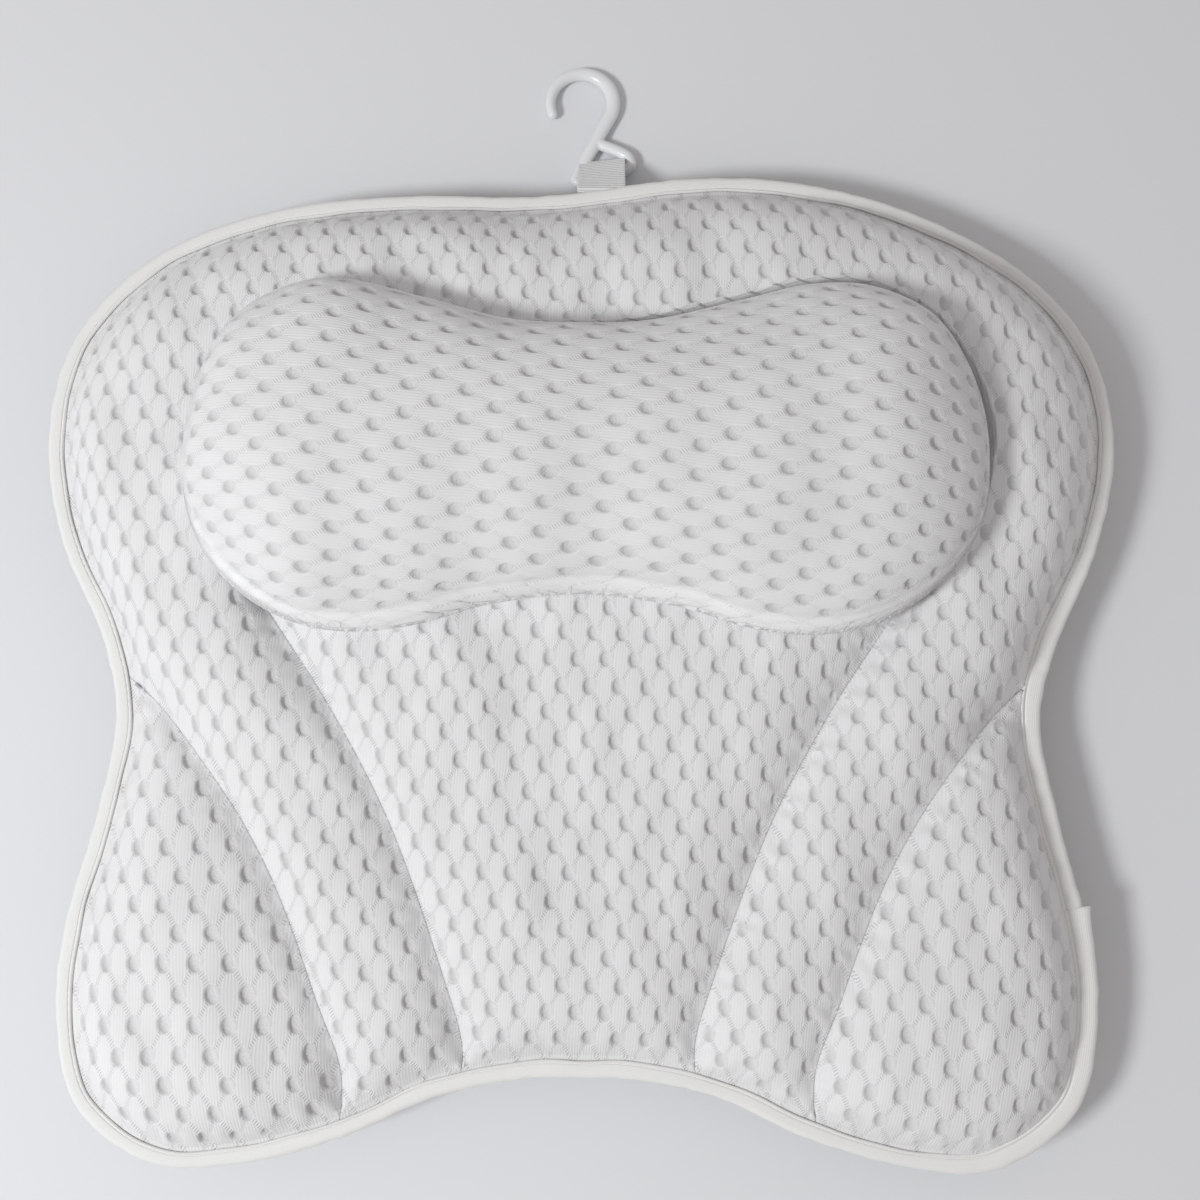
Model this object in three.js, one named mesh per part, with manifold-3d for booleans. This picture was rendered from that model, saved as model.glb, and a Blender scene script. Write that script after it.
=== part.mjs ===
// Bath pillow: a butterfly-shaped cushion of thick air mesh with a kidney-shaped neck bolster, a sewn
// tape binding, six suction cups on straps behind it, and a plastic hook on a tape loop for drying.
// Millimetres, +Z up. The pillow lies on its cups with its front up, and its hook end points along +Y.
import * as THREE from 'three';
import * as BufferGeometryUtils from 'three/addons/utils/BufferGeometryUtils.js';
import Module from 'manifold-3d';

const wasm = await Module();
wasm.setup();

// Overall size of the flat cushion, over its binding
const pillowWidth = 430;
const pillowLength = 392;

// Clearances
const seatGap = 0.3;
const seamGap = 0.2;
const fillGap = 1.2;
const cutOverrun = 5;

// Fabrics and tapes
const meshThickness = 4;
const flangeThickness = 1;
const tapeThickness = 0.9;
const bindingWidth = 8;
const strapThickness = 1.2;

// Puff of the front panels
const crownHeight = 26;
const crownReach = 38;
const seamRise = 12;
const seamFade = 34;
const edgeMargin = 1.6;
const shoulderStep = 5;

// Neck bolster
const bolsterWidth = 302;
const bolsterDepth = 139;
const bolsterCentreY = 70.5;
const bolsterHeight = 48;
const bolsterEquator = 9;
const bolsterTuck = 4;
const bolsterReach = 58;
const bolsterHem = 7;

// Suction cups and their straps
const cupRadius = 25;
const cupRimFlat = 2;
const cupLip = 1.2;
const cupHeight = 15;
const cupHollow = 8;
const cupShoulderRadius = 10;
const cupCollarHeight = 4;
const neckRadius = 4;
const headRadius = 7;
const headHeight = 3.5;
const headEdge = 1;
const strapWidth = 20;
const strapEndLength = 17;
const strapSlopeLength = 7;

// Hanging tape and hook
const loopWidth = 20;
const loopOffsetX = 6.4;
const loopFoldWidth = 9.5;
const loopFoldShift = 2.6;
const hookRadius = 13.5;
const hookWire = 4.8;
const hookShiftLeft = 2.2;
const barAngle = THREE.MathUtils.degToRad(17);
const barReach = 14.4;

// Right half of the binding's outer edge, from the top centre to the bottom centre, as shares of the
// half width and of the half length
const edgeShares = [
  [0, 0.982], [0.35, 0.99], [0.6, 0.942], [0.83, 0.817], [0.958, 0.648], [0.995, 0.459],
  [0.955, 0.219], [0.87, 0.015], [0.842, -0.122], [0.87, -0.321], [0.916, -0.536], [0.926, -0.699],
  [0.884, -0.872], [0.744, -0.982], [0.581, -0.98], [0.414, -0.929], [0.256, -0.857], [0.084, -0.819],
  [0, -0.816],
];
const waistShare = 0.493;
const lobeEndShare = 0.872;
const channelEndShare = 0.938;

// Shares of a seam's length between which its inner points are spread
const seamStartShare = 0.15;
const seamStopShare = 0.93;

// Points of the seams between their ends, as shares of the half width and of the half length
const outerSeamShares = [
  [0.749, -0.117], [0.64, -0.26], [0.545, -0.434], [0.46, -0.663], [0.418, -0.79],
];
const innerSeamShares = [
  [0.553, 0.066], [0.442, -0.12], [0.344, -0.321], [0.256, -0.567], [0.207, -0.747],
];
const yokeHemShares = [
  [0.595, 0.16], [0.57, 0.25], [0.465, 0.31], [0.23, 0.325], [0, 0.325],
];

// Places of the right-hand suction cups, as shares of the cushion's half width and half length
const cupPlaceShares = [[0.642, 0.531], [0.326, 0.01], [0.66, -0.684]];

// Right half of the bolster's outline, as shares of its half width and half depth
const bolsterTopShares = [
  [0, 0.76], [0.2, 0.79], [0.4, 0.9], [0.58, 0.995], [0.72, 0.99], [0.85, 0.85], [0.94, 0.6],
  [0.99, 0.29], [1, 0],
];
const bolsterFootShares = [
  [1, 0], [0.985, -0.3], [0.93, -0.58], [0.84, -0.8], [0.71, -0.95], [0.56, -0.995],
  [0.41, -0.94], [0.24, -0.81], [0, -0.74],
];

// How many flats each outline is drawn with
const seamSteps = 16;
const topSteps = 32;
const centreSteps = 12;
const channelSteps = 4;
const lobeColumns = 4;
const bolsterSteps = 20;
const bolsterColumns = 6;
const cupSides = 18;
const holeSides = 16;
const wireSides = 10;
const wireSteps = 40;
const strutSteps = 5;
const curveChecks = 600;
const halvings = 30;

// Below this turn, in radians, two edges of an outline count as straight on
const straightTurn = 0.02;

// Corners closer than this share of a gap are one corner
const weldShare = 0.01;

// Heights that the layers stack up to, from the plane of the cups' rims
const bridgeBottom = cupHeight + seatGap;
const bridgeTop = bridgeBottom + strapThickness;
const headBottom = bridgeTop + seatGap;
const headTop = headBottom + headHeight;
const backBottom = headTop + seatGap;
const backTop = backBottom + meshThickness;
const frontBottom = backTop + seatGap;
const flangeTop = frontBottom + flangeThickness;
const slotBottom = backTop - flangeThickness - seatGap;
const slotTop = flangeTop + seatGap;
const bindingBottom = slotBottom - tapeThickness;
const bindingTop = slotTop + tapeThickness;
const bindingMiddle = (bindingBottom + bindingTop) / 2;
const crownTop = flangeTop + crownHeight;
const bolsterBase = crownTop + seatGap;
const legReach = bindingWidth + seatGap;
const nose = tapeThickness + 2 * seatGap;

const halfWidth = pillowWidth / 2;
const halfLength = pillowLength / 2;

// Materials
const meshFabric = new THREE.MeshStandardMaterial({ color: 0xeeeeec, roughness: 0.9, metalness: 0 });
const meshBack = new THREE.MeshStandardMaterial({ color: 0xe6e6e3, roughness: 0.9, metalness: 0 });
const bindingTape = new THREE.MeshStandardMaterial({ color: 0xf2f1ee, roughness: 0.8, metalness: 0 });
const webbing = new THREE.MeshStandardMaterial({ color: 0xdfe1e6, roughness: 0.85, metalness: 0 });
const fibreFill = new THREE.MeshStandardMaterial({ color: 0xfafafa, roughness: 1, metalness: 0 });
const hookPlastic = new THREE.MeshStandardMaterial({ color: 0xf1f2f3, roughness: 0.25, metalness: 0 });
const cupRubber = new THREE.MeshStandardMaterial({ color: 0xe4ebee, roughness: 0.15, metalness: 0 });

// Plan geometry

// Turns shares of two half sizes into points.
function scaled(shares, sizeX, sizeY) {
  return shares.map(([x, y]) => new THREE.Vector2(x * sizeX, y * sizeY));
}

function mirrored(points) {
  return points.map((point) => new THREE.Vector2(-point.x, point.y));
}

// A smooth curve through plan points.
function smoothCurve(points, closed = false) {
  const corners = points.map((point) => new THREE.Vector3(point.x, point.y, 0));
  const curve = new THREE.CatmullRomCurve3(corners, closed, 'centripetal');
  curve.arcLengthDivisions = curveChecks;
  return curve;
}

// The point at a share of a curve's length.
function planPoint(curve, share) {
  const point = curve.getPointAt(share);
  return new THREE.Vector2(point.x, point.y);
}

// Points at even steps between two shares of a curve's length.
function planPoints(curve, from, to, steps) {
  return Array.from({ length: steps + 1 }, (_, i) => planPoint(curve, from + (to - from) * i / steps));
}

// Shortest distance from a point to an open or closed run of straight edges.
function distanceTo(point, line) {
  let least = Infinity;
  for (let i = 0; i + 1 < line.length; i += 1) {
    const along = line[i + 1].clone().sub(line[i]);
    const offset = point.clone().sub(line[i]);
    const share = THREE.MathUtils.clamp(offset.dot(along) / along.lengthSq(), 0, 1);
    least = Math.min(least, offset.sub(along.multiplyScalar(share)).length());
  }
  return least;
}

// Joins runs of points into one closed loop, and notes what each of its edges lies against.
function joinSides(sides) {
  const loop = [];
  const kinds = [];
  const corners = [];
  for (const [points, kind] of sides) {
    corners.push(loop.length);
    for (const point of points.slice(0, -1)) {
      loop.push(point);
      kinds.push(kind);
    }
  }
  return { loop, kinds, corners };
}

// Twice the signed area of a loop, above zero when it runs anticlockwise.
function turnOf(loop) {
  return loop.reduce((sum, point, i) => sum + point.cross(loop[(i + 1) % loop.length]), 0);
}

// Moves every edge of a loop inwards by its own distance and keeps the corners sharp. Beside a sharp
// corner, points that would fall behind the moved corner are gathered on it.
function insetLoop(loop, distances, corners = []) {
  const count = loop.length;
  const inward = Math.sign(turnOf(loop));
  const normals = loop.map((point, i) => {
    const along = loop[(i + 1) % count].clone().sub(point).normalize();
    return new THREE.Vector2(-along.y, along.x).multiplyScalar(inward);
  });
  const moved = loop.map((point, i) => {
    const before = (i + count - 1) % count;
    const [n0, n1] = [normals[before], normals[i]];
    const [d0, d1] = [distances[before], distances[i]];
    const spread = n0.cross(n1);
    if (Math.abs(spread) < straightTurn) {
      return point.clone().addScaledVector(n0.clone().add(n1).normalize(), (d0 + d1) / 2);
    }
    const step = new THREE.Vector2(d0 * n1.y - d1 * n0.y, d1 * n0.x - d0 * n1.x);
    return point.clone().addScaledVector(step, 1 / spread);
  });
  for (const corner of corners) {
    for (const way of [1, -1]) {
      let next = (corner + way + count) % count;
      while (moved[next].clone().sub(moved[corner]).dot(loop[next].clone().sub(loop[corner])) <= 0) {
        moved[next] = moved[corner].clone();
        next = (next + way + count) % count;
      }
    }
  }
  return moved;
}

// The plan of a panel: quads between the rings that step inwards from its loop, then rows that cross
// the last ring from side to side. A ring holds the first side, the far row, the second side backwards
// and the near row. Pointed panels have no rows of their own, and their two sides meet at both ends.
function planFromRings(rings, rows, columns, pointed = false) {
  const count = rings[0].length;
  const faces = [];
  for (let ring = 0; ring + 1 < rings.length; ring += 1) {
    for (let i = 0; i < count; i += 1) {
      const next = (i + 1) % count;
      const [outer, inner] = [rings[ring], rings[ring + 1]];
      if (outer[i].distanceTo(inner[next]) <= outer[next].distanceTo(inner[i])) {
        faces.push([outer[i], outer[next], inner[next]], [outer[i], inner[next], inner[i]]);
      } else {
        faces.push([outer[i], outer[next], inner[i]], [outer[next], inner[next], inner[i]]);
      }
    }
  }
  const last = rings[rings.length - 1];
  const across = pointed ? 0 : columns;
  const place = (row, column) => {
    if (!pointed && row === 0) return last[(count - column) % count];
    if (!pointed && row === rows) return last[rows + column];
    const near = last[row];
    const far = last[(2 * rows + across - row) % count];
    if (column === 0) return near;
    return column === columns ? far : near.clone().lerp(far, column / columns);
  };
  for (let row = 0; row < rows; row += 1) {
    for (let column = 0; column < columns; column += 1) {
      const corners = [[0, 0], [1, 0], [1, 1], [0, 1]].map(([r, c]) => place(row + r, column + c));
      faces.push([corners[0], corners[1], corners[2]], [corners[0], corners[2], corners[3]]);
    }
  }
  return { rim: rings[0], faces, turn: turnOf(rings[0]) };
}

// Solids

// Merges the shared corners of a geometry, drops flat slivers and turns its faces outwards.
function closed(geometry) {
  const bare = new THREE.BufferGeometry();
  bare.setAttribute('position', geometry.getAttribute('position'));
  if (geometry.index) bare.setIndex(geometry.index);
  const merged = BufferGeometryUtils.mergeVertices(bare, seatGap * weldShare);
  const index = Array.from(merged.index.array);
  const corner = (i) => new THREE.Vector3().fromBufferAttribute(merged.attributes.position, i);
  const kept = [];
  let volume = 0;
  for (let i = 0; i < index.length; i += 3) {
    const [a, b, c] = index.slice(i, i + 3);
    if (a !== b && b !== c && c !== a) {
      kept.push([a, b, c]);
      volume += corner(a).dot(corner(b).cross(corner(c)));
    }
  }
  merged.setIndex(kept.flatMap(([a, b, c]) => (volume < 0 ? [a, c, b] : [a, b, c])));
  return merged;
}

function weld(triangles) {
  const loose = new THREE.BufferGeometry();
  const places = triangles.flatMap((triangle) => triangle.flatMap((point) => [point.x, point.y, point.z]));
  loose.setAttribute('position', new THREE.Float32BufferAttribute(places, 3));
  return closed(loose);
}

function lifted(point, height) {
  return new THREE.Vector3(point.x, point.y, height);
}

// The solid between two height functions over a plan.
function solidBetween(plan, topOf, bottomOf) {
  const triangles = [];
  for (const face of plan.faces) {
    const [a, b, c] = face.map((point) => lifted(point, topOf(point)));
    const [d, e, f] = face.map((point) => lifted(point, bottomOf(point)));
    triangles.push([a, b, c], [d, f, e]);
  }
  plan.rim.forEach((point, i) => {
    const next = plan.rim[(i + 1) % plan.rim.length];
    const [low, lowNext] = [point, next].map((place) => lifted(place, bottomOf(place)));
    const [high, highNext] = [point, next].map((place) => lifted(place, topOf(place)));
    triangles.push([low, lowNext, highNext], [low, highNext, high]);
  });
  return weld(triangles);
}

function bandBetween(low, high) {
  return low.flatMap((point, i) => {
    const next = (i + 1) % low.length;
    return [[point, low[next], high[next]], [point, high[next], high[i]]];
  });
}

// A closed solid through loops stacked one after another, with a flat cap on the first and the last.
function stackedLoops(loops, heights) {
  const flats = turnOf(loops[0]) < 0 ? loops.map((loop) => [...loop].reverse()) : loops;
  const levels = flats.map((loop, i) => loop.map((point) => lifted(point, heights[i])));
  const top = levels[levels.length - 1];
  const capOf = (level) => THREE.ShapeUtils.triangulateShape(flats[levels.indexOf(level)], [])
    .map((face) => face.map((corner) => level[corner]));
  const triangles = [...capOf(levels[0]).map((face) => face.reverse()), ...capOf(top)];
  for (let i = 0; i + 1 < levels.length; i += 1) {
    triangles.push(...bandBetween(levels[i], levels[i + 1]));
  }
  return weld(triangles);
}

// A ring-shaped solid: a closed section of insets and heights, carried round a loop.
function sectionRound(loop, section) {
  const levels = section.map(([inset, height]) => insetLoop(loop, loop.map(() => inset))
    .map((point) => lifted(point, height)));
  return weld(levels.flatMap((level, i) => bandBetween(level, levels[(i + 1) % levels.length])));
}

function toManifold(geometry) {
  const merged = closed(geometry);
  return new wasm.Manifold(new wasm.Mesh({
    numProp: 3,
    vertProperties: new Float32Array(merged.attributes.position.array),
    triVerts: new Uint32Array(merged.index.array),
  }));
}

function fromManifold(solid) {
  const mesh = solid.getMesh();
  const geometry = new THREE.BufferGeometry();
  geometry.setAttribute('position', new THREE.Float32BufferAttribute(mesh.vertProperties, 3));
  geometry.setIndex(Array.from(mesh.triVerts));
  return geometry;
}

function subtract(geometry, ...cutters) {
  const cut = cutters.reduce((left, cutter) => left.subtract(toManifold(cutter)), toManifold(geometry));
  return fromManifold(cut);
}

function join(...geometries) {
  return fromManifold(geometries.map(toManifold).reduce((sum, next) => sum.add(next)));
}

// A flat outline in the YZ plane, extruded along X about a centre.
function extrudedAlongX(shape, width, centre) {
  const geometry = new THREE.ExtrudeGeometry(shape, { depth: width, bevelEnabled: false, curveSegments: 6 });
  geometry.rotateX(Math.PI / 2);
  geometry.rotateZ(Math.PI / 2);
  geometry.translate(centre - width / 2, 0, 0);
  return geometry;
}

// Outline and seams of the cushion

const halfEdge = scaled(edgeShares, halfWidth, halfLength);
const edgeCurve = smoothCurve([...halfEdge, ...mirrored(halfEdge.slice(1, -1)).reverse()], true);

// Points of the binding's outer edge between two shares of its right half, which starts at the top.
function edgeRun(from, to, steps) {
  return planPoints(edgeCurve, from / 2, to / 2, steps);
}

const topRight = edgeRun(0, waistShare, topSteps / 2);
const lobeRight = edgeRun(waistShare, lobeEndShare, seamSteps);
const channelRight = edgeRun(lobeEndShare, channelEndShare, channelSteps);
const centreHalf = edgeRun(channelEndShare, 1, centreSteps / 2);
const rightEdge = [...topRight, ...lobeRight.slice(1), ...channelRight.slice(1), ...centreHalf.slice(1)];
const edgeLoop = [...rightEdge, ...mirrored(rightEdge.slice(1, -1)).reverse()];
const edgeLine = [...edgeLoop, edgeLoop[0]];
const topEdge = [...topRight.slice(1).reverse(), ...mirrored(topRight)];
const centreEdge = [...mirrored(centreHalf), ...centreHalf.slice(0, -1).reverse()];

// The share of a seam's length at which it comes out from under the binding.
function shareUnderBinding(curve, from, towards) {
  let [hidden, shown] = [from, towards];
  for (let halving = 0; halving < halvings; halving += 1) {
    const middle = (hidden + shown) / 2;
    if (distanceTo(planPoint(curve, middle), edgeLine) < legReach) hidden = middle;
    else shown = middle;
  }
  return hidden;
}

// Outer seam, from the waist down to the bottom edge.
function outerSeamPoints() {
  const inner = scaled(outerSeamShares, halfWidth, halfLength);
  const curve = smoothCurve([lobeRight[0], ...inner, channelRight[0]]);
  const first = shareUnderBinding(curve, 0, 0.5);
  const last = shareUnderBinding(curve, 1, 0.5);
  const between = seamSteps - 3;
  const spread = Array.from({ length: between }, (_, i) => (
    THREE.MathUtils.lerp(seamStartShare, seamStopShare, i / (between - 1))
  ));
  return [0, first, ...spread, last, 1].map((share) => planPoint(curve, share));
}

// Inner seam, from under the bolster down to the bottom edge.
function innerSeamPoints() {
  const inner = scaled(innerSeamShares, halfWidth, halfLength);
  const curve = smoothCurve([...inner, centreHalf[0]]);
  const last = shareUnderBinding(curve, 1, 0.5);
  const shares = Array.from({ length: seamSteps - 1 }, (_, i) => seamStopShare * i / (seamSteps - 2));
  return [...shares, last, 1].map((share) => planPoint(curve, share));
}

const outerSeam = outerSeamPoints();
const innerSeam = innerSeamPoints();
const hemCurve = smoothCurve([innerSeam[0], ...scaled(yokeHemShares, halfWidth, halfLength)]);
const hemRight = planPoints(hemCurve, 0, 1, topSteps / 2);
const yokeHem = [...hemRight, ...mirrored(hemRight.slice(0, -1)).reverse()];
const seamsRight = [outerSeam, [...innerSeam].reverse().concat(hemRight.slice(1))];
const seamLines = [...seamsRight, ...seamsRight.map(mirrored)];

// Puff of the front panels

// A quarter of a circle's rise: steep at the seam and level at the crown.
function roundRise(share) {
  const left = 1 - THREE.MathUtils.clamp(share, 0, 1);
  return Math.sqrt(1 - left * left);
}

// Height over the flange of a point that lies the given distances in from the seams and the binding.
function puffHeight(seamDistance, edgeDistance) {
  const open = Math.max(0, edgeDistance);
  const lift = seamRise * THREE.MathUtils.smoothstep(open, 0, seamFade);
  return lift + (crownHeight - lift) * roundRise(Math.min(Math.max(0, seamDistance), open) / crownReach);
}

function planDistances(point) {
  const seam = Math.min(...seamLines.map((line) => distanceTo(point, line)));
  return [seam, distanceTo(point, edgeLine) - legReach - edgeMargin];
}

function frontTop(point) {
  return flangeTop + puffHeight(...planDistances(point));
}

// The inside of the mesh, one thickness in from the seams and below the top.
function frontInside(point) {
  const [seam, edge] = planDistances(point);
  if (seam < meshThickness || edge < meshThickness) return frontBottom;
  const inside = puffHeight(seam - meshThickness, edge - meshThickness);
  return frontBottom + Math.max(0, inside + flangeThickness - meshThickness);
}

function fillTop(point) {
  return frontInside(point) - fillGap;
}

// Rings of a front panel. Against a seam it starts one seam gap in, and at the edge it starts inside
// the binding. Its second ring lies along the end of the binding's leg and inside the mesh's thickness.
const ringSteps = {
  seam: [seamGap, seamGap + meshThickness, seamGap + meshThickness + shoulderStep],
  edge: [nose, legReach, legReach + meshThickness + shoulderStep],
};

function panelRings(sides) {
  const { loop, kinds, corners } = joinSides(sides);
  return [0, 1, 2].map((ring) => insetLoop(loop, kinds.map((kind) => ringSteps[kind][ring]), corners));
}

function coverOf(rings, rows, columns, pointed) {
  return solidBetween(planFromRings(rings, rows, columns, pointed), frontTop, frontInside);
}

// The filling under a cover: the plan of the cover's last ring, with every second column.
function fillOf(rings, rows, columns, pointed) {
  const last = rings[rings.length - 1];
  const crossings = last.map((_, i) => {
    const farRow = i > rows && i < rows + columns;
    const nearRow = i > 2 * rows + columns;
    return !pointed && ((farRow && (i - rows) % 2 === 1) || (nearRow && (last.length - i) % 2 === 1));
  });
  const loop = last.filter((_, i) => !crossings[i]);
  return solidBetween(planFromRings([loop], rows, columns / 2, pointed), fillTop, () => frontBottom);
}

// The arch that runs over the top and down both slanted channels
const yokeRows = 2 * seamSteps + topSteps;
const yokeRings = panelRings([
  [[...outerSeam].reverse(), 'seam'],
  [topEdge, 'edge'],
  [mirrored(outerSeam), 'seam'],
  [mirrored(channelRight), 'edge'],
  [mirrored(innerSeam).reverse(), 'seam'],
  [[...yokeHem].reverse(), 'seam'],
  [innerSeam, 'seam'],
  [[...channelRight].reverse(), 'edge'],
]);

// The panel between the channels, whose top runs on under the bolster
const hemSide = (topSteps - centreSteps) / 2;
const centreRows = seamSteps + hemSide;
const centreRings = panelRings([
  [yokeHem.slice(topSteps - hemSide), 'seam'],
  [mirrored(innerSeam), 'seam'],
  [centreEdge, 'edge'],
  [[...innerSeam].reverse(), 'seam'],
  [yokeHem.slice(0, hemSide + 1), 'seam'],
  [yokeHem.slice(hemSide, topSteps - hemSide + 1), 'seam'],
]);

// The two lower corners
function lobeRings(side) {
  return panelRings([[side(lobeRight), 'edge'], [side(outerSeam).reverse(), 'seam']]);
}

const rightLobeRings = lobeRings((points) => [...points]);
const leftLobeRings = lobeRings(mirrored);

// Neck bolster

const bolsterHalfWidth = bolsterWidth / 2;
const bolsterHalfDepth = bolsterDepth / 2;
const bolsterTopRise = bolsterHeight - bolsterEquator;
const bolsterRingShares = [0, 0.2, 0.5, 1, 2];

// The bolster's loop: its foot from the right tip to the left one, then its top back again.
function bolsterLoop() {
  const foot = scaled(bolsterFootShares, bolsterHalfWidth, bolsterHalfDepth);
  const top = scaled(bolsterTopShares, bolsterHalfWidth, bolsterHalfDepth);
  const rest = [...mirrored(foot.slice(0, -1)).reverse(), ...mirrored(top.slice(1, -1)).reverse()];
  const curve = smoothCurve([...foot, ...rest, ...top.slice(0, -1)], true);
  return Array.from({ length: 2 * bolsterSteps }, (_, i) => {
    const point = curve.getPoint(i / (2 * bolsterSteps));
    return new THREE.Vector2(point.x, point.y + bolsterCentreY);
  });
}

// A kidney-shaped dome over a flat foot: the side bulges out over the foot, then the top closes in.
function bolsterSolid(inset, topRise, reach, ringShares, columns) {
  const whole = bolsterLoop();
  const base = bolsterBase + inset;
  const rim = insetLoop(whole, whole.map(() => inset));
  const line = [...rim, rim[0]];
  const middle = bolsterBase + bolsterEquator;
  const topOf = (point) => middle + topRise * roundRise(distanceTo(point, line) / reach);
  const footOf = (point) => middle - (middle - base) * roundRise(distanceTo(point, line) / bolsterTuck);
  const rings = ringShares.map((share) => insetLoop(rim, rim.map(() => share * bolsterTuck)));
  return solidBetween(planFromRings(rings, bolsterSteps, columns, true), topOf, footOf);
}

function bolsterCover() {
  const loop = bolsterLoop();
  const wall = meshThickness;
  const [rise, reach] = [bolsterTopRise - wall, bolsterReach - wall];
  const rings = bolsterRingShares;
  const outer = bolsterSolid(0, bolsterTopRise, bolsterReach, rings, bolsterColumns);
  const inner = bolsterSolid(wall, rise, reach, rings, bolsterColumns);
  const hole = insetLoop(loop, loop.map(() => bolsterTuck + bolsterHem));
  const opening = stackedLoops([hole, hole], [bolsterBase - cutOverrun, bolsterBase + bolsterEquator]);
  return subtract(outer, inner, opening);
}

function bolsterFill() {
  const inset = meshThickness + fillGap;
  const [rise, reach] = [bolsterTopRise - inset, bolsterReach - inset];
  const rings = bolsterRingShares.filter((_, i) => i % 2 === 0);
  return bolsterSolid(inset, rise, reach, rings, bolsterColumns / 2);
}

// Back and binding

function backPanel() {
  const loopAt = (inset) => insetLoop(edgeLoop, edgeLoop.map(() => inset));
  const ledge = backTop - flangeThickness;
  const loops = [legReach + edgeMargin, legReach, nose, nose].map(loopAt);
  return stackedLoops(loops, [backBottom, ledge, ledge, backTop]);
}

// A tape folded over the edge: two legs, a rounded nose, and the slot that holds both flanges.
function edgeBinding() {
  const web = nose - seatGap;
  return sectionRound(edgeLoop, [
    [0, bindingMiddle], [tapeThickness, bindingBottom], [bindingWidth, bindingBottom],
    [bindingWidth, slotBottom], [web, slotBottom], [web, slotTop], [bindingWidth, slotTop],
    [bindingWidth, bindingTop], [tapeThickness, bindingTop],
  ]);
}

// Suction cups and straps

// The skirt bulges over a straight cone where this power is below one.
const skirtBulge = 0.8;

// A bell with a flat rim and a parabolic hollow, then a collar, a neck and a mushroom head.
function suctionCup() {
  const hollowRadius = cupRadius - cupRimFlat;
  const skirtTop = cupHeight - cupCollarHeight;
  const hollow = [0, 0.5, 0.85, 1].map((share) => [
    hollowRadius * share, cupHollow * (1 - share * share),
  ]);
  const skirt = [0, 0.45, 1].map((share) => [
    THREE.MathUtils.lerp(cupRadius, cupShoulderRadius, share),
    THREE.MathUtils.lerp(cupLip, skirtTop, share ** skirtBulge),
  ]);
  const stem = [
    [cupShoulderRadius, cupHeight], [neckRadius, cupHeight], [neckRadius, headBottom],
    [headRadius, headBottom], [headRadius, headTop - headEdge], [headRadius - headEdge, headTop],
    [0, headTop],
  ];
  const profile = [...hollow, [cupRadius, 0], ...skirt, ...stem].map(([r, z]) => new THREE.Vector2(r, z));
  const bell = new THREE.LatheGeometry(profile, cupSides);
  bell.rotateX(Math.PI / 2);
  return closed(bell);
}

// A strip sewn flat to the back at both ends, which bridges down to the cup's neck.
function cupStrap() {
  const end = backBottom - seatGap - strapThickness;
  const bridge = cupShoulderRadius + seatGap;
  const slope = bridge + strapSlopeLength;
  const reach = slope + strapEndLength;
  const half = [[0, bridgeBottom], [bridge, bridgeBottom], [slope, end], [reach, end]];
  const low = [...half.slice(1).reverse().map(([x, z]) => [-x, z]), ...half.slice(1)];
  const high = low.map(([x, z]) => [x, z + strapThickness]).reverse();
  const shape = new THREE.Shape([...low, ...high].map(([x, z]) => new THREE.Vector2(x, z)));
  const strip = new THREE.ExtrudeGeometry(shape, { depth: strapWidth, bevelEnabled: false });
  strip.rotateX(Math.PI / 2);
  strip.translate(0, strapWidth / 2, 0);
  const holeRadius = neckRadius + seatGap;
  const hole = new THREE.CylinderGeometry(holeRadius, holeRadius, cutOverrun * 2, holeSides);
  hole.rotateX(Math.PI / 2);
  hole.translate(0, 0, bridgeBottom);
  return subtract(strip, hole);
}

const cupPlaces = scaled(cupPlaceShares, halfWidth, halfLength)
  .flatMap((place) => [...mirrored([place]), place]);

// Hanging tape and hook

const shoulderShare = 0.66;
const wireRadius = hookWire / 2;
const foldInside = wireRadius + seatGap;
const foldOutside = foldInside + tapeThickness;
const barHalfSection = wireRadius / Math.cos(barAngle);
const foldSlack = loopFoldWidth / 2 * Math.tan(barAngle) + barHalfSection - wireRadius + 2 * seatGap;
const barHeight = foldOutside + seatGap;
const loopNearEdge = edgeLoop
  .filter((point) => Math.abs(point.x) < loopWidth * 2)
  .reduce((most, point) => Math.max(most, point.y), 0);
const pivotY = loopNearEdge + seatGap + tapeThickness;
const pivotZ = bindingMiddle;
const barY = pivotY + barReach;
const barX = loopOffsetX + loopFoldShift;

// A strip with round ends, from one point to another.
function capsule(from, to, radius) {
  const along = to.clone().sub(from);
  const heading = along.angle();
  const shape = new THREE.Shape();
  shape.absarc(from.x, from.y, radius, heading + Math.PI / 2, heading + Math.PI * 3 / 2, false);
  shape.absarc(to.x, to.y, radius, heading - Math.PI / 2, heading + Math.PI / 2, false);
  return shape;
}

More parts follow.
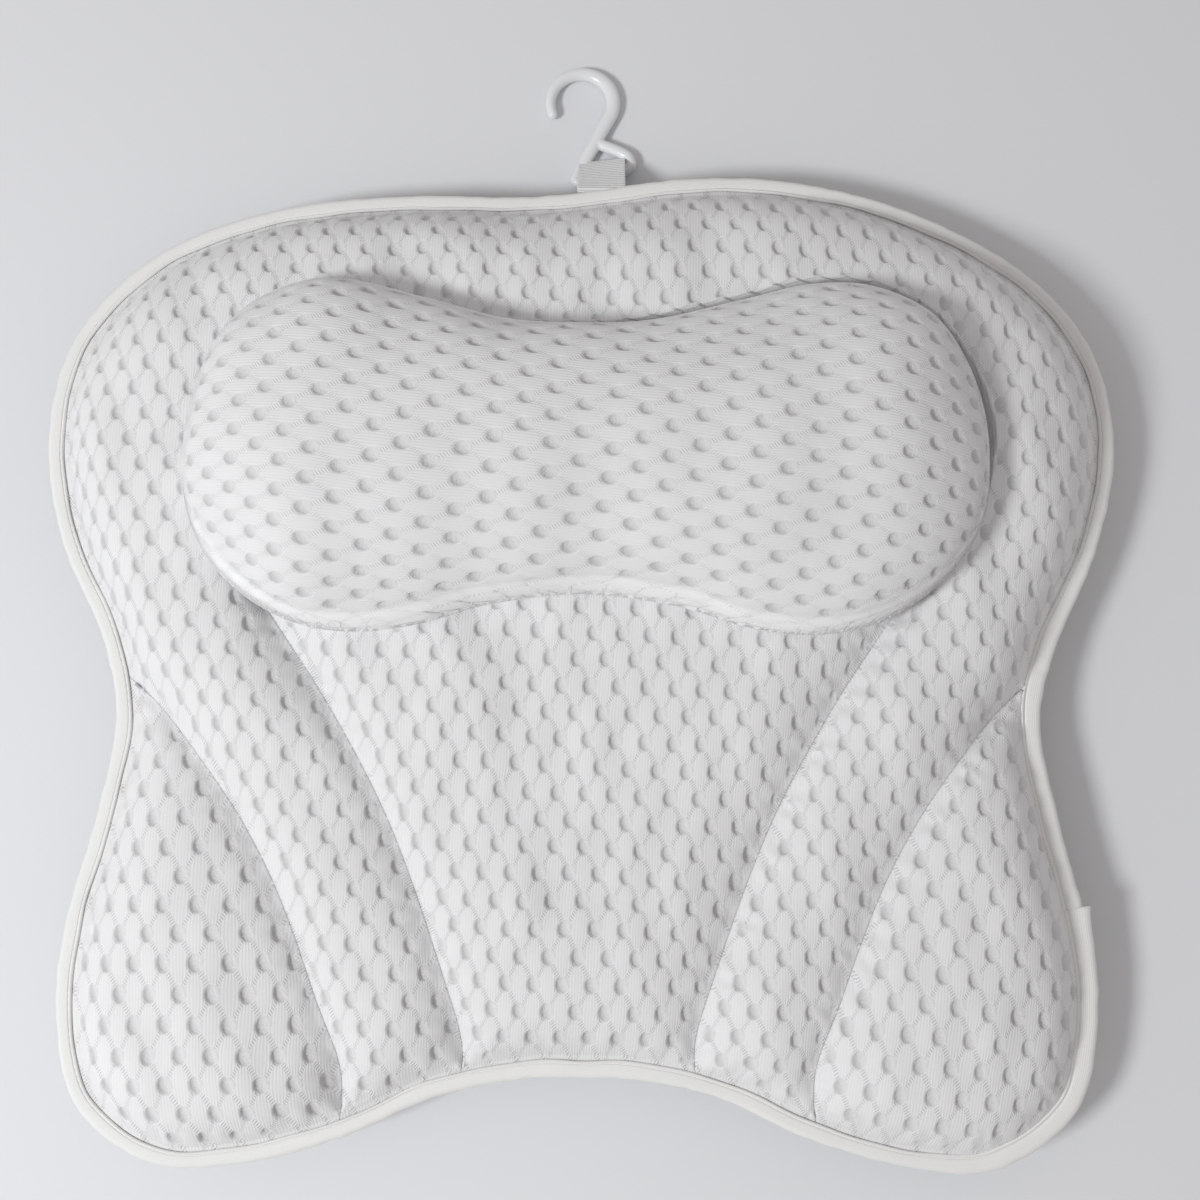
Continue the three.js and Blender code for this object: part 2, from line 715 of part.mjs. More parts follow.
// A doubled tape that falls from the binding, and opens into a fold round the hook's bar. Below its
// shoulder both its sides are cut back to the width of the fold.
function hangLoop() {
  const foldNear = new THREE.Vector2(barY - foldSlack, barHeight);
  const foldFar = new THREE.Vector2(barY + foldSlack, barHeight);
  const pivot = new THREE.Vector2(pivotY, pivotZ);
  const seat = new THREE.Vector2(foldNear.x - foldInside - tapeThickness, barHeight);
  const strip = extrudedAlongX(capsule(pivot, seat, tapeThickness), loopWidth, loopOffsetX);
  const fold = extrudedAlongX(capsule(foldNear, foldFar, foldOutside), loopWidth, loopOffsetX);
  const pocket = extrudedAlongX(capsule(foldNear, foldFar, foldInside), loopWidth * 2, barX);
  const shoulder = pivot.clone().lerp(seat, shoulderShare);
  const heading = seat.clone().sub(pivot).angle();
  const depth = 2 * barReach;
  const sideCuts = [-1, 1].map((side) => {
    const near = barX + side * loopFoldWidth / 2;
    const far = loopOffsetX + side * (loopWidth / 2 + cutOverrun);
    const cut = new THREE.BoxGeometry(Math.abs(far - near), depth, depth);
    cut.translate(0, depth / 2, 0);
    cut.rotateX(heading);
    cut.translate((near + far) / 2, shoulder.x, shoulder.y);
    return cut;
  });
  return subtract(join(strip, fold), pocket, ...sideCuts);
}

function sweptWire(points, radius, steps) {
  const path = new THREE.CatmullRomCurve3(points, false, 'centripetal');
  const section = new THREE.Shape();
  section.absarc(0, 0, radius, 0, Math.PI * 2, false);
  const options = { steps, extrudePath: path, bevelEnabled: false, curveSegments: wireSides / 2 };
  return closed(new THREE.ExtrudeGeometry(section, options));
}

// Corners of the hook's triangular eye, as shares of the hook's radius from the centre of its bow
const eyeShares = {
  stemTop: [0.84, -0.55], stemFoot: [-0.1, -2.42], leftCorner: [-0.16, -2.63], leftTurn: [-0.02, -2.66],
  rightTurn: [1.42, -2.22], rightCorner: [1.56, -2.06], rightBend: [1.46, -1.8], apex: [0.57, -1.37],
};
const bowStartAngle = THREE.MathUtils.degToRad(201);
const bowEndAngle = THREE.MathUtils.degToRad(-28);
const bowSteps = 9;
const strutShare = 0.97;
const barStraightShares = [0.2, 0.4, 0.6, 0.86];

// The hook is drawn flat about the centre of its bow, then moved so that its bar lies in the fold.
function hook() {
  const at = ([x, y]) => new THREE.Vector3(x * hookRadius, y * hookRadius, 0);
  const bow = Array.from({ length: bowSteps + 1 }, (_, i) => {
    const angle = bowStartAngle + (bowEndAngle - bowStartAngle) * i / bowSteps;
    return at([Math.cos(angle), Math.sin(angle)]);
  });
  const eye = eyeShares;
  const left = [eye.stemTop, eye.stemFoot, eye.leftCorner, eye.leftTurn].map(at);
  const right = [eye.rightTurn, eye.rightCorner, eye.rightBend].map(at);
  const upright = [eye.rightCorner, eye.rightBend, eye.apex].map(at);
  const bar = barStraightShares.map((share) => at(eye.leftTurn).lerp(at(eye.rightTurn), share));
  const main = sweptWire([...bow, ...left, ...bar, ...right], wireRadius, wireSteps);
  const strut = sweptWire(upright, wireRadius * strutShare, strutSteps);
  const tip = new THREE.SphereGeometry(wireRadius, wireSides, wireSides / 2);
  tip.translate(...bow[0].toArray());
  return join(main, strut, tip);
}

const group = new THREE.Group();

function addPiece(name, geometry, material, parent = group) {
  const piece = new THREE.Mesh(geometry, material);
  piece.name = name;
  parent.add(piece);
  return piece;
}

addPiece('back_panel', backPanel(), meshBack);
addPiece('edge_binding', edgeBinding(), bindingTape);
addPiece('yoke_panel', coverOf(yokeRings, yokeRows, channelSteps), meshFabric);
addPiece('centre_panel', coverOf(centreRings, centreRows, centreSteps), meshFabric);
addPiece('left_lobe_panel', coverOf(leftLobeRings, seamSteps, lobeColumns, true), meshFabric);
addPiece('right_lobe_panel', coverOf(rightLobeRings, seamSteps, lobeColumns, true), meshFabric);
addPiece('yoke_fill', fillOf(yokeRings, yokeRows, channelSteps), fibreFill);
addPiece('centre_fill', fillOf(centreRings, centreRows, centreSteps), fibreFill);
addPiece('left_lobe_fill', fillOf(leftLobeRings, seamSteps, lobeColumns, true), fibreFill);
addPiece('right_lobe_fill', fillOf(rightLobeRings, seamSteps, lobeColumns, true), fibreFill);
addPiece('bolster_cover', bolsterCover(), meshFabric);
addPiece('bolster_fill', bolsterFill(), fibreFill);

cupPlaces.forEach(({ x, y }, i) => {
  addPiece(`cup_strap_${i + 1}`, cupStrap(), webbing).position.set(x, y, 0);
  addPiece(`suction_cup_${i + 1}`, suctionCup(), cupRubber).position.set(x, y, 0);
});

addPiece('hang_loop', hangLoop(), webbing);

// The bar's middle, from the centre of the bow, is the point that the hook turns about.
const [leftX, leftY] = eyeShares.leftTurn;
const [rightX, rightY] = eyeShares.rightTurn;
const barMiddle = new THREE.Vector2((leftX + rightX) / 2, (leftY + rightY) / 2).multiplyScalar(hookRadius);
const droop = Math.asin((barHeight - wireRadius - seatGap) / (hookRadius - barMiddle.y));
const hookSeat = new THREE.Group();
const tilt = new THREE.Group();
const barAlong = (barX + hookShiftLeft - barMiddle.x) * Math.tan(barAngle);
hookSeat.position.set(barMiddle.x - hookShiftLeft, barY - barAlong, barHeight);
tilt.rotation.x = -droop;
addPiece('hook', hook(), hookPlastic, tilt).position.set(-barMiddle.x, -barMiddle.y, 0);
hookSeat.add(tilt);
group.add(hookSeat);

// The origin lies under the middle of everything, on the plane of the cups' rims.
const bounds = new THREE.Box3().setFromObject(group);
const middle = bounds.getCenter(new THREE.Vector3());
group.position.set(-middle.x, -middle.y, -bounds.min.z);

export default group;
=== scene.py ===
# %% [markdown]
# # A bath pillow in white air mesh
# The pillow is a flat, butterfly-shaped cushion with a kidney-shaped neck bolster on top, a tape sewn
# round its edge, six suction cups behind it and a plastic hook on a ribbon. Its looks come from cloth:
# thick knitted mesh with rows of oval holes, blown up by its filling and drawn down along every seam.
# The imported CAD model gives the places. Every soft solid gets a real cloth surface here.

# %% Load the frame
import math
import bmesh
import bpy
import numpy as np
from mathutils import Matrix, Vector


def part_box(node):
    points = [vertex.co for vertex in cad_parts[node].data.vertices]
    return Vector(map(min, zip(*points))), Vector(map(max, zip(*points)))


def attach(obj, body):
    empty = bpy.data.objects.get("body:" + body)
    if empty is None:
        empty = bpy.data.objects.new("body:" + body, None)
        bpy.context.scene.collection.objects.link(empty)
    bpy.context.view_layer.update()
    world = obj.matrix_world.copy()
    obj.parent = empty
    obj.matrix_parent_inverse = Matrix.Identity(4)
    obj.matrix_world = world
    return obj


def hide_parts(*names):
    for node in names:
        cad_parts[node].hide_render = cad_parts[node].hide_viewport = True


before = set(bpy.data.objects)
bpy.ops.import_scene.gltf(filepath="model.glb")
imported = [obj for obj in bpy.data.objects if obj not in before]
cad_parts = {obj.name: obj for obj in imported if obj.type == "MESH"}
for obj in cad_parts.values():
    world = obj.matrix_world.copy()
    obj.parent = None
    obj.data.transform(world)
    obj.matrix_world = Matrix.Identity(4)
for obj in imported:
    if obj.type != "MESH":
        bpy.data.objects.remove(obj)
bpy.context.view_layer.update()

MM = 0.001


def box_mm(node):
    """A CAD node's lowest and highest corner, in millimetres."""
    low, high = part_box(node)
    return np.array(low) / MM, np.array(high) / MM


# %% [markdown]
# ## From arrays to meshes
# Two small functions shape nearly everything here: a soft step and a bell-shaped hump.

# %% Soft step and hump
def smoothstep(low, high, x):
    """0 below low, 1 above high, and 3x^2 - 2x^3 between them."""
    x = np.clip((x - low) / (high - low), 0, 1)
    return x * x * (3 - 2 * x)


def hump(x, middle, width):
    """exp(-((x - middle) / width)^2): 1 in the middle, and fading away on both sides."""
    return np.exp(-((x - middle) / width) ** 2)


# %% [markdown]
# All shapes are worked out in millimetres with numpy, as whole arrays. One helper puts the arrays into
# a mesh in metres. A surface is a grid of points, so its faces are the grid's cells.

# %% Mesh helpers
def grid_faces(rows, columns, wrap_rows=False, wrap_columns=False):
    """Quads between neighbouring points of a grid whose points are numbered row by row."""
    r = np.arange(rows if wrap_rows else rows - 1)[:, None]
    c = np.arange(columns if wrap_columns else columns - 1)[None, :]
    r2, c2 = (r + 1) % rows, (c + 1) % columns
    quads = np.stack([r * columns + c, r * columns + c2, r2 * columns + c2, r2 * columns + c], -1)
    return quads.reshape(-1, 4)


def make_mesh(name, points, *face_sets, fabric=None):
    """A mesh object from points in millimetres and one or more arrays of quads or triangles."""
    mesh = bpy.data.meshes.new(name)
    points = np.asarray(points, float).reshape(-1, 3)
    sizes = np.concatenate([np.full(len(f), f.shape[1]) for f in face_sets])
    corners = np.concatenate([f.ravel() for f in face_sets]).astype(np.int32)
    mesh.vertices.add(len(points))
    mesh.vertices.foreach_set("co", (points * MM).astype(np.float32).ravel())
    mesh.loops.add(len(corners))
    mesh.loops.foreach_set("vertex_index", corners)
    mesh.polygons.add(len(sizes))
    mesh.polygons.foreach_set("loop_start", np.concatenate([[0], np.cumsum(sizes)[:-1]]).astype(np.int32))
    mesh.polygons.foreach_set("use_smooth", np.ones(len(sizes), bool))
    if fabric is not None:
        lay = mesh.attributes.new("fabric", "FLOAT_VECTOR", "POINT")
        lay.data.foreach_set("vector", np.asarray(fabric, np.float32).reshape(-1, 3).ravel())
    mesh.update(calc_edges=True)
    piece = bpy.data.objects.new(name, mesh)
    bpy.context.scene.collection.objects.link(piece)
    return piece


def tidy_mesh(piece, weld_mm, floor_mm=None):
    """Welds doubled points. With floor_mm, the open rim is carried down to that height and closed
    with one flat face. At the end all faces are turned outwards."""
    bm = bmesh.new()
    bm.from_mesh(piece.data)
    bmesh.ops.remove_doubles(bm, verts=bm.verts, dist=weld_mm * MM)
    bmesh.ops.dissolve_degenerate(bm, edges=bm.edges, dist=weld_mm * MM)
    if floor_mm is not None:
        rim = [e for e in bm.edges if e.is_boundary]
        new = bmesh.ops.extrude_edge_only(bm, edges=rim)["geom"]
        for v in new:
            if isinstance(v, bmesh.types.BMVert):
                v.co.z = floor_mm * MM
        low = [e for e in new if isinstance(e, bmesh.types.BMEdge) and e.is_boundary]
        bmesh.ops.holes_fill(bm, edges=low, sides=0)
    bmesh.ops.recalc_face_normals(bm, faces=bm.faces)
    bm.to_mesh(piece.data)
    bm.free()
    print(f"{piece.name}: {len(piece.data.polygons)} faces")


def dress(piece, body, slot, *nodes, fill=None):
    """Puts a piece on its body's empty and hides the CAD nodes that it stands for.
    slot and fill are not used."""
    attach(piece, body)
    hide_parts(*nodes)
    return piece


# %% [markdown]
# ## Curves
# A centripetal Catmull-Rom spline passes through every point it is given and never loops between close
# ones. The CAD model uses the same spline, so both models get the same curves.

# %% Curves
def spline(points, closed=False, fine=60):
    """Centripetal Catmull-Rom: between two points runs a cubic whose end slopes come from the points
    on both sides, with knots spaced by the square root of the distances. It is an array of points."""
    p = np.asarray(points, float)
    ends = (p[-1:], p[:2]) if closed else (2 * p[:1] - p[1:2], 2 * p[-1:] - p[-2:-1])
    p = np.concatenate([ends[0], p, ends[1]])
    gap = np.sqrt(np.linalg.norm(np.diff(p, axis=0), axis=1))[:, None]
    a, b, c, d = p[:-3], p[1:-2], p[2:-1], p[3:]
    g0, g1, g2 = gap[:-2], gap[1:-1], gap[2:]
    slope_b = ((b - a) / g0 - (c - a) / (g0 + g1) + (c - b) / g1) * g1
    slope_c = ((c - b) / g1 - (d - b) / (g1 + g2) + (d - c) / g2) * g1
    t = (np.arange(fine) / fine)[None, :, None]
    b, c, slope_b, slope_c = (v[:, None, :] for v in (b, c, slope_b, slope_c))
    square = t**2 * (3 * (c - b) - 2 * slope_b - slope_c)
    run = b + t * slope_b + square + t**3 * (2 * (b - c) + slope_b + slope_c)
    run = run.reshape(-1, p.shape[1])
    return run if closed else np.concatenate([run, p[-2:-1]])


def run_length(line):
    """How far along a line each of its points lies."""
    return np.concatenate([[0], np.cumsum(np.linalg.norm(np.diff(line, axis=0), axis=-1))])


def directions(line):
    """Unit vectors along a line, one for each of its points."""
    along = np.gradient(line, axis=0)
    return along / np.linalg.norm(along, axis=-1)[..., None]


def even(line, step, closed=False, start=0.0, stop=1.0):
    """Points at even steps along a line, between two shares of its length."""
    line = np.concatenate([line, line[:1]]) if closed else line
    length = run_length(line)
    span = (stop - start) * length[-1]
    count = max(2, int(round(span / step)) + 1)
    at = np.linspace(start, stop, count) * length[-1]
    at = at[:-1] if closed and stop - start == 1 else at
    return np.stack([np.interp(at, length, line[:, k]) for k in range(line.shape[1])], -1)


def mirror(line):
    """The same line on the other side of x = 0, run backwards."""
    return (line * [-1, 1])[::-1]


# %% [markdown]
# ## The plan
# The pillow's outline and seams run through a few points, given as shares of its half width and half
# length, as in the CAD. The right half is drawn and mirrored. The seams divide the front into the yoke,
# which arches over the top and down both channels, the centre, and two lobes.

# %% Outline and seams
HALF = np.array([215.0, 196.0])
EDGE = [
    (0, 0.982), (0.35, 0.99), (0.6, 0.942), (0.83, 0.817), (0.958, 0.648), (0.995, 0.459),
    (0.955, 0.219), (0.87, 0.015), (0.842, -0.122), (0.87, -0.321), (0.916, -0.536), (0.926, -0.699),
    (0.884, -0.872), (0.744, -0.982), (0.581, -0.98), (0.414, -0.929), (0.256, -0.857), (0.084, -0.819),
    (0, -0.816),
]
OUTER_SEAM = [(0.749, -0.117), (0.64, -0.26), (0.545, -0.434), (0.46, -0.663), (0.418, -0.79)]
INNER_SEAM = [(0.553, 0.066), (0.442, -0.12), (0.344, -0.321), (0.256, -0.567), (0.207, -0.747)]
HEM = [(0.595, 0.16), (0.57, 0.25), (0.465, 0.31), (0.23, 0.325), (0, 0.325)]
WAIST, LOBE_END, CHANNEL_END = 0.493, 0.872, 0.938
LINE_STEP = 0.5

right_half = np.array(EDGE) * HALF
outline = spline(np.concatenate([right_half, mirror(right_half)[1:-1]]), closed=True)
edge_top = box_mm("edge_binding")[1][1]
shift = np.array([0, edge_top - outline[:, 1].max()])
outline += shift


def edge_run(start, stop):
    """The right-hand outline between two shares of its length from the top centre."""
    return even(outline, LINE_STEP, True, start / 2, stop / 2)


top_right, lobe_right = edge_run(0, WAIST), edge_run(WAIST, LOBE_END)
channel_right, centre_right = edge_run(LOBE_END, CHANNEL_END), edge_run(CHANNEL_END, 1)
outer_points = np.array(OUTER_SEAM) * HALF + shift
outer_seam = even(spline([lobe_right[0], *outer_points, channel_right[0]]), LINE_STEP)
inner_seam = even(spline([*(np.array(INNER_SEAM) * HALF + shift), centre_right[0]]), LINE_STEP)
hem_right = even(spline([inner_seam[0], *(np.array(HEM) * HALF + shift)]), LINE_STEP)
hem = np.concatenate([hem_right, mirror(hem_right)[1:]])
print("the outline is", round(float(run_length(outline)[-1])), "mm round")

# %% [markdown]
# The bolster's outline is a kidney with two dips. The photo shows it a little askew, so its foot is
# moved up, most of all under its two lobes, and its right tip is moved out.

# %% Bolster's outline
BOLSTER_HALF = np.array([151.0, 69.5])
BOLSTER_TOP = [
    (0, 0.76), (0.2, 0.79), (0.4, 0.9), (0.58, 0.995), (0.72, 0.99), (0.85, 0.85), (0.94, 0.6),
    (0.99, 0.29), (1, 0),
]
BOLSTER_FOOT = [
    (1, 0), (0.985, -0.3), (0.93, -0.58), (0.84, -0.8), (0.71, -0.95), (0.56, -0.995),
    (0.41, -0.94), (0.24, -0.81), (0, -0.74),
]
FOOT_LIFT, LOBE_LIFT, RIGHT_REACH = 1.6, 2.8, 3.2
FOOT_FROM, LOBE_FROM, REACH_FROM = (30, -25), (20, 90), (90, 150)
bolster_low, bolster_high = box_mm("bolster_cover")
top_half = np.array(BOLSTER_TOP) * BOLSTER_HALF
foot_half = np.array(BOLSTER_FOOT) * BOLSTER_HALF
ring = [top_half, foot_half[1:], mirror(foot_half)[1:], mirror(top_half)[1:-1]]
ring = spline(np.concatenate(ring), closed=True)
ring[:, 1] += bolster_high[1] - ring[:, 1].max()
foot_share = smoothstep(*FOOT_FROM, ring[:, 1])
ring[:, 1] += foot_share * (FOOT_LIFT + LOBE_LIFT * smoothstep(*LOBE_FROM, np.abs(ring[:, 0])))
ring[:, 0] += RIGHT_REACH * smoothstep(*REACH_FROM, ring[:, 0]) * (1 - foot_share)
ring_even = even(ring, LINE_STEP, closed=True)
print("the bolster is", round(float(run_length(ring_even)[-1])), "mm round")

# %% [markdown]
# ## One raster for the whole front
# The four front panels are one cloth surface cut along seams. They are worked out together on one
# raster of points, a fraction of a millimetre apart, so that neighbours meet exactly at their seam.

# %% Raster
STEP = 0.6
LEFT, RIGHT, FOOT, HEAD = -220, 220, -232, 170
grid_x = np.arange(LEFT, RIGHT + STEP, STEP)
grid_y = np.arange(FOOT, HEAD + STEP, STEP)
X, Y = np.meshgrid(grid_x, grid_y)
P = np.stack([X, Y], -1)
print("raster:", X.shape, "points")

# %% [markdown]
# Each raster point needs its distance to the nearest seam and to the edge. Jump flooding finds that
# for all points at once: every point asks its neighbours, first far ones, then nearer ones, which
# point of the line they know, and keeps the nearest.

# %% Distances
def nearest(line):
    """For each raster point: the distance to a line, and how far along the line its nearest place
    lies. Found by jump flooding."""
    rows, columns = X.shape
    column = np.clip(np.rint((line[:, 0] - grid_x[0]) / STEP).astype(int), 0, columns - 1)
    row = np.clip(np.rint((line[:, 1] - grid_y[0]) / STEP).astype(int), 0, rows - 1)
    known = np.full(X.shape, -1)
    known[row, column] = np.arange(len(line))
    best = np.where(known < 0, np.inf, ((P - line[known]) ** 2).sum(-1))
    for jump in (256, 128, 64, 32, 16, 8, 4, 2, 1, 1):
        for down in (-jump, 0, jump):
            for across in (-jump, 0, jump):
                r = np.clip(np.arange(rows) + down, 0, rows - 1)
                c = np.clip(np.arange(columns) + across, 0, columns - 1)
                asked = known[np.ix_(r, c)]
                away = ((P - line[asked]) ** 2).sum(-1)
                closer = (asked >= 0) & (away < best)
                known[closer] = asked[closer]
                best[closer] = away[closer]
    along = directions(line)
    offset = P - line[known]
    slide = np.clip((offset * along[known]).sum(-1), -LINE_STEP / 2, LINE_STEP / 2)
    away = np.linalg.norm(offset - slide[..., None] * along[known], axis=-1)
    return away, run_length(line)[known] + slide


# %% [markdown]
# A panel is cut out later, with two more questions to the raster: which points lie within half a step
# of a line, and which ones lie inside a loop.

# %% Snap and inside
def snap(line, reach):
    """Raster points within reach of a line, and the line's point that is nearest to each. Every point
    of the line offers itself to the nine raster points round it, and the nearest offer wins."""
    line = even(line, STEP / 4)
    best, place = np.full(X.size, np.inf), P.reshape(-1, 2).copy()
    column = np.rint((line[:, 0] - grid_x[0]) / STEP).astype(int)
    row = np.rint((line[:, 1] - grid_y[0]) / STEP).astype(int)
    for down in (-1, 0, 1):
        for across in (-1, 0, 1):
            at = (row + down) * len(grid_x) + column + across
            away = np.linalg.norm(P.reshape(-1, 2)[at] - line, axis=1)
            order = np.argsort(-away)
            better = away[order] < best[at[order]]
            at, away, near = at[order][better], away[order][better], line[order][better]
            best[at], place[at] = away, near
    return (best < reach).reshape(X.shape), place.reshape(P.shape)


def inside(loop):
    """True for raster points inside a closed loop. Each edge of the loop that crosses a raster row
    flips everything to its right."""
    a, b = loop, np.roll(loop, -1, 0)
    edge, row = np.nonzero((a[:, 1:] <= grid_y) != (b[:, 1:] <= grid_y))
    share = (grid_y[row] - a[edge, 1]) / (b[edge, 1] - a[edge, 1])
    at = a[edge, 0] + share * (b[edge, 0] - a[edge, 0])
    column = np.clip(np.ceil((at - grid_x[0]) / STEP).astype(int), 0, len(grid_x) - 1)
    flips = np.zeros(X.shape, int)
    np.add.at(flips, (row, column), 1)
    return np.cumsum(flips, axis=1) % 2 == 1


# %% [markdown]
# Each point now learns how far it lies inside the edge, from a seam and outside the bolster's outline,
# and how far along the edge or the seam its nearest place is.

# %% Fields on the raster
edge_line = even(outline, LINE_STEP, closed=True)
left_seams = mirror(inner_seam)[::-1], mirror(outer_seam)[::-1]
seam_run = np.concatenate([outer_seam, inner_seam[::-1], hem, *left_seams])
edge_gap, edge_along = nearest(edge_line)
edge_gap = np.where(inside(edge_line), edge_gap, -edge_gap)
seam_gap, seam_along = nearest(seam_run)
kidney_gap, _ = nearest(ring_even)
kidney_gap = np.where(inside(ring_even), -kidney_gap, kidney_gap)
print("the middle of the front is", round(float(edge_gap.max())), "mm from its edge")

# %% [markdown]
# ## How the filling blows the panels up
# A filled panel behaves like a thin skin under pressure. It is held down along its seams, and away
# from them it settles at its full height. The equation for that skin is h - L^2 * (change of slope of
# h) = 1: near a straight seam its answer is 1 - exp(-d / L), and in narrow channels and corners the
# skin stays lower by itself, with no creases along the middle. It is solved by relaxation on the
# raster, which does for a whole sewn cushion what a cloth simulation would do, at the full fineness.

# %% Relaxation and blur
def ripples(x, y, shortest, longest, waves, seed):
    """Slow random unevenness between about -1 and 1: a sum of plane waves with random headings."""
    pick = np.random.default_rng(seed)
    heading = pick.uniform(0, math.pi, waves)
    size = 2 * math.pi / pick.uniform(shortest, longest, waves)
    start = pick.uniform(0, 2 * math.pi, waves)
    total = sum(np.sin((x * math.cos(h) + y * math.sin(h)) * k + s)
                for h, k, s in zip(heading, size, start))
    return total / math.sqrt(waves)


def relax(fixed, values, first, reach, step=STEP, sweeps=160, push=1.86):
    """Solves h - reach^2 * laplacian(h) = 1 between fixed points, by over-relaxation of the raster's
    even and odd points in turn. A coarser raster with every second point gives a good first guess."""
    if step < 1:
        coarse = relax(fixed[::2, ::2], values[::2, ::2], first[::2, ::2], reach, 2 * step)
        rows, columns = (np.arange(n) / 2 for n in fixed.shape)
        across = np.stack([np.interp(columns, np.arange(coarse.shape[1]), row) for row in coarse])
        low = np.clip(rows.astype(int), 0, coarse.shape[0] - 1)
        high = np.clip(low + 1, 0, coarse.shape[0] - 1)
        first = across[low] + (rows - low)[:, None] * (across[high] - across[low])
        sweeps, push = 30, 1.5
    h = np.where(fixed, values, first)
    stiff = (reach / step) ** 2
    odd = (np.arange(h.shape[0])[:, None] + np.arange(h.shape[1])[None, :]) % 2 == 1
    free = ~fixed
    free[0] = free[-1] = False
    free[:, 0] = free[:, -1] = False
    masks = [(free & (odd == turn))[1:-1, 1:-1] for turn in (False, True)]
    for _ in range(sweeps):
        for mask in masks:
            around = h[:-2, 1:-1] + h[2:, 1:-1] + h[1:-1, :-2] + h[1:-1, 2:]
            target = (1 + stiff * around) / (1 + 4 * stiff)
            core = h[1:-1, 1:-1]
            core += np.where(mask, push * (target - core), 0)
    return h


def soften(field, radius):
    """Blurs a raster with a bell curve exp(-d^2 / (2 radius^2)), radius in millimetres."""
    reach = np.arange(-int(3 * radius / STEP), int(3 * radius / STEP) + 1)
    bell = np.exp(-0.5 * (reach * STEP / radius) ** 2)
    bell /= bell.sum()
    for axis in (0, 1):
        field = sum(share * np.roll(field, steps, axis) for share, steps in zip(bell, reach))
    return field


# %% [markdown]
# The skin is held at the flange under the tape and along the seams. A seam runs out of the flange and
# rises with the filling on both sides of it. Its sharp crease is softened a little.

# %% Puff of the front
LEG_REACH = 8.3
FRONT_BOTTOM, FLANGE_TOP = 24.9, 25.9
CROWN, SEAM_RISE, SEAM_FADE = 26.0, 14.5, 34.0
SKIN, EDGE_HELD, SEAM_HELD = 10.5, 0.4, 0.9
SEAM_SOFT, SOFT_FROM = 1.6, (1, 8)
open_edge = edge_gap - LEG_REACH
seam_level = SEAM_RISE / CROWN * smoothstep(0, SEAM_FADE, open_edge)
held = (open_edge < EDGE_HELD) | (seam_gap < SEAM_HELD)
from_edge = np.maximum(open_edge, 0)
wall = np.where(open_edge < EDGE_HELD, 1 - np.exp(-from_edge / SKIN), 0)
seam_wall = seam_level + (1 - seam_level) * (1 - np.exp(-seam_gap / SKIN))
wall = np.where(seam_gap < SEAM_HELD, seam_wall, wall)
wall = np.where(open_edge <= 0, 0, wall)
first_guess = 1 - np.exp(-np.minimum(from_edge, seam_gap) / SKIN)
skin = relax(held, wall, first_guess, SKIN)
skin += (soften(skin, SEAM_SOFT) - skin) * smoothstep(*SOFT_FROM, open_edge)
print(f"the skin reaches {skin.max():.0%} of its full height")

# %% [markdown]
# Real fillings are lumpy, and thread draws puckers into the cloth on both sides of a seam. Round the
# bolster the cloth bulges up against its rim. On the far side it keeps clear, and leaves a groove.

# %% Lumps, puckers and the bulge
LUMP, SMALL_LUMP, CALM = 1.1, 0.35, 30
PUCKER_AT, PUCKER_REACH, SEAM_PUCKER, EDGE_PUCKER = 4, 5.0, 0.45, 0.5
SEAM_WAVE, EDGE_WAVE, SEAM_DRIFT, EDGE_DRIFT = 11, 13, 1.4, 1.8
BULGE, BULGE_FAR = 8.0, (26.0, 80.0)
RISE_START, RISE_END, CLEAR_START, CLEAR_END = -3.2, -0.5, 4.4, 5.2
SEAM_DIP, SEAM_THREAD, EDGE_PINCH, PINCH_REACH = 0.3, 0.7, 1.3, 1.6
lumps = LUMP * ripples(X, Y, 34, 80, 9, 3) + SMALL_LUMP * ripples(X, Y, 14, 26, 9, 4)
calm = smoothstep(0, CALM, np.minimum(open_edge, seam_gap))
wave_side = np.sin(seam_along * 2 * math.pi / SEAM_WAVE + SEAM_DRIFT * ripples(X, Y, 20, 50, 5, 5))
wave_edge = np.sin(edge_along * 2 * math.pi / EDGE_WAVE + EDGE_DRIFT * ripples(X, Y, 20, 50, 5, 6))
pucker = hump(seam_gap, PUCKER_AT, PUCKER_REACH) * wave_side * SEAM_PUCKER
pucker += hump(open_edge, PUCKER_AT, PUCKER_REACH) * wave_edge * EDGE_PUCKER * (open_edge > 0)
pucker *= smoothstep(0, 3, np.minimum(open_edge, seam_gap))
pinch = EDGE_PINCH * hump(open_edge, 0, PINCH_REACH)
clear_side = smoothstep(-90, 40, X) * smoothstep(10, 60, Y)
rise_start, rise_end = RISE_START + CLEAR_START * clear_side, RISE_END + CLEAR_END * clear_side
bulge = BULGE * smoothstep(rise_start, rise_end, kidney_gap) * (1 - smoothstep(*BULGE_FAR, kidney_gap))
seam_line = SEAM_DIP * hump(seam_gap, 0, SEAM_THREAD) * (open_edge > 0)
front_height = FLANGE_TOP + (CROWN + bulge) * skin + pinch + lumps * calm + pucker - seam_line
print("front rises to", round(float(front_height.max()), 1), "mm")

# %% [markdown]
# ## The air mesh
# The cloth is a thick knit with oval holes in staggered rows. Fine ribs run between the holes, and
# each diamond of cloth between four holes stands up a little. The holes are real dimples in the
# surface. Cloth that climbs a steep side is seen end on, so its pattern is laid out along the
# surface: a slope k uses up an extra length of L * (sqrt(1+k^2) - 1 - ln((1 + sqrt(1+k^2)) / 2)).

# %% Pattern of the mesh
ACROSS, ALONG = 5.4, 10.2
HOLE_ACROSS, HOLE_ALONG, HOLE_DEPTH = 2.8, 3.5, 1.6
CELL_PUFF = 0.12
LEAN = (0.75, 0.3)


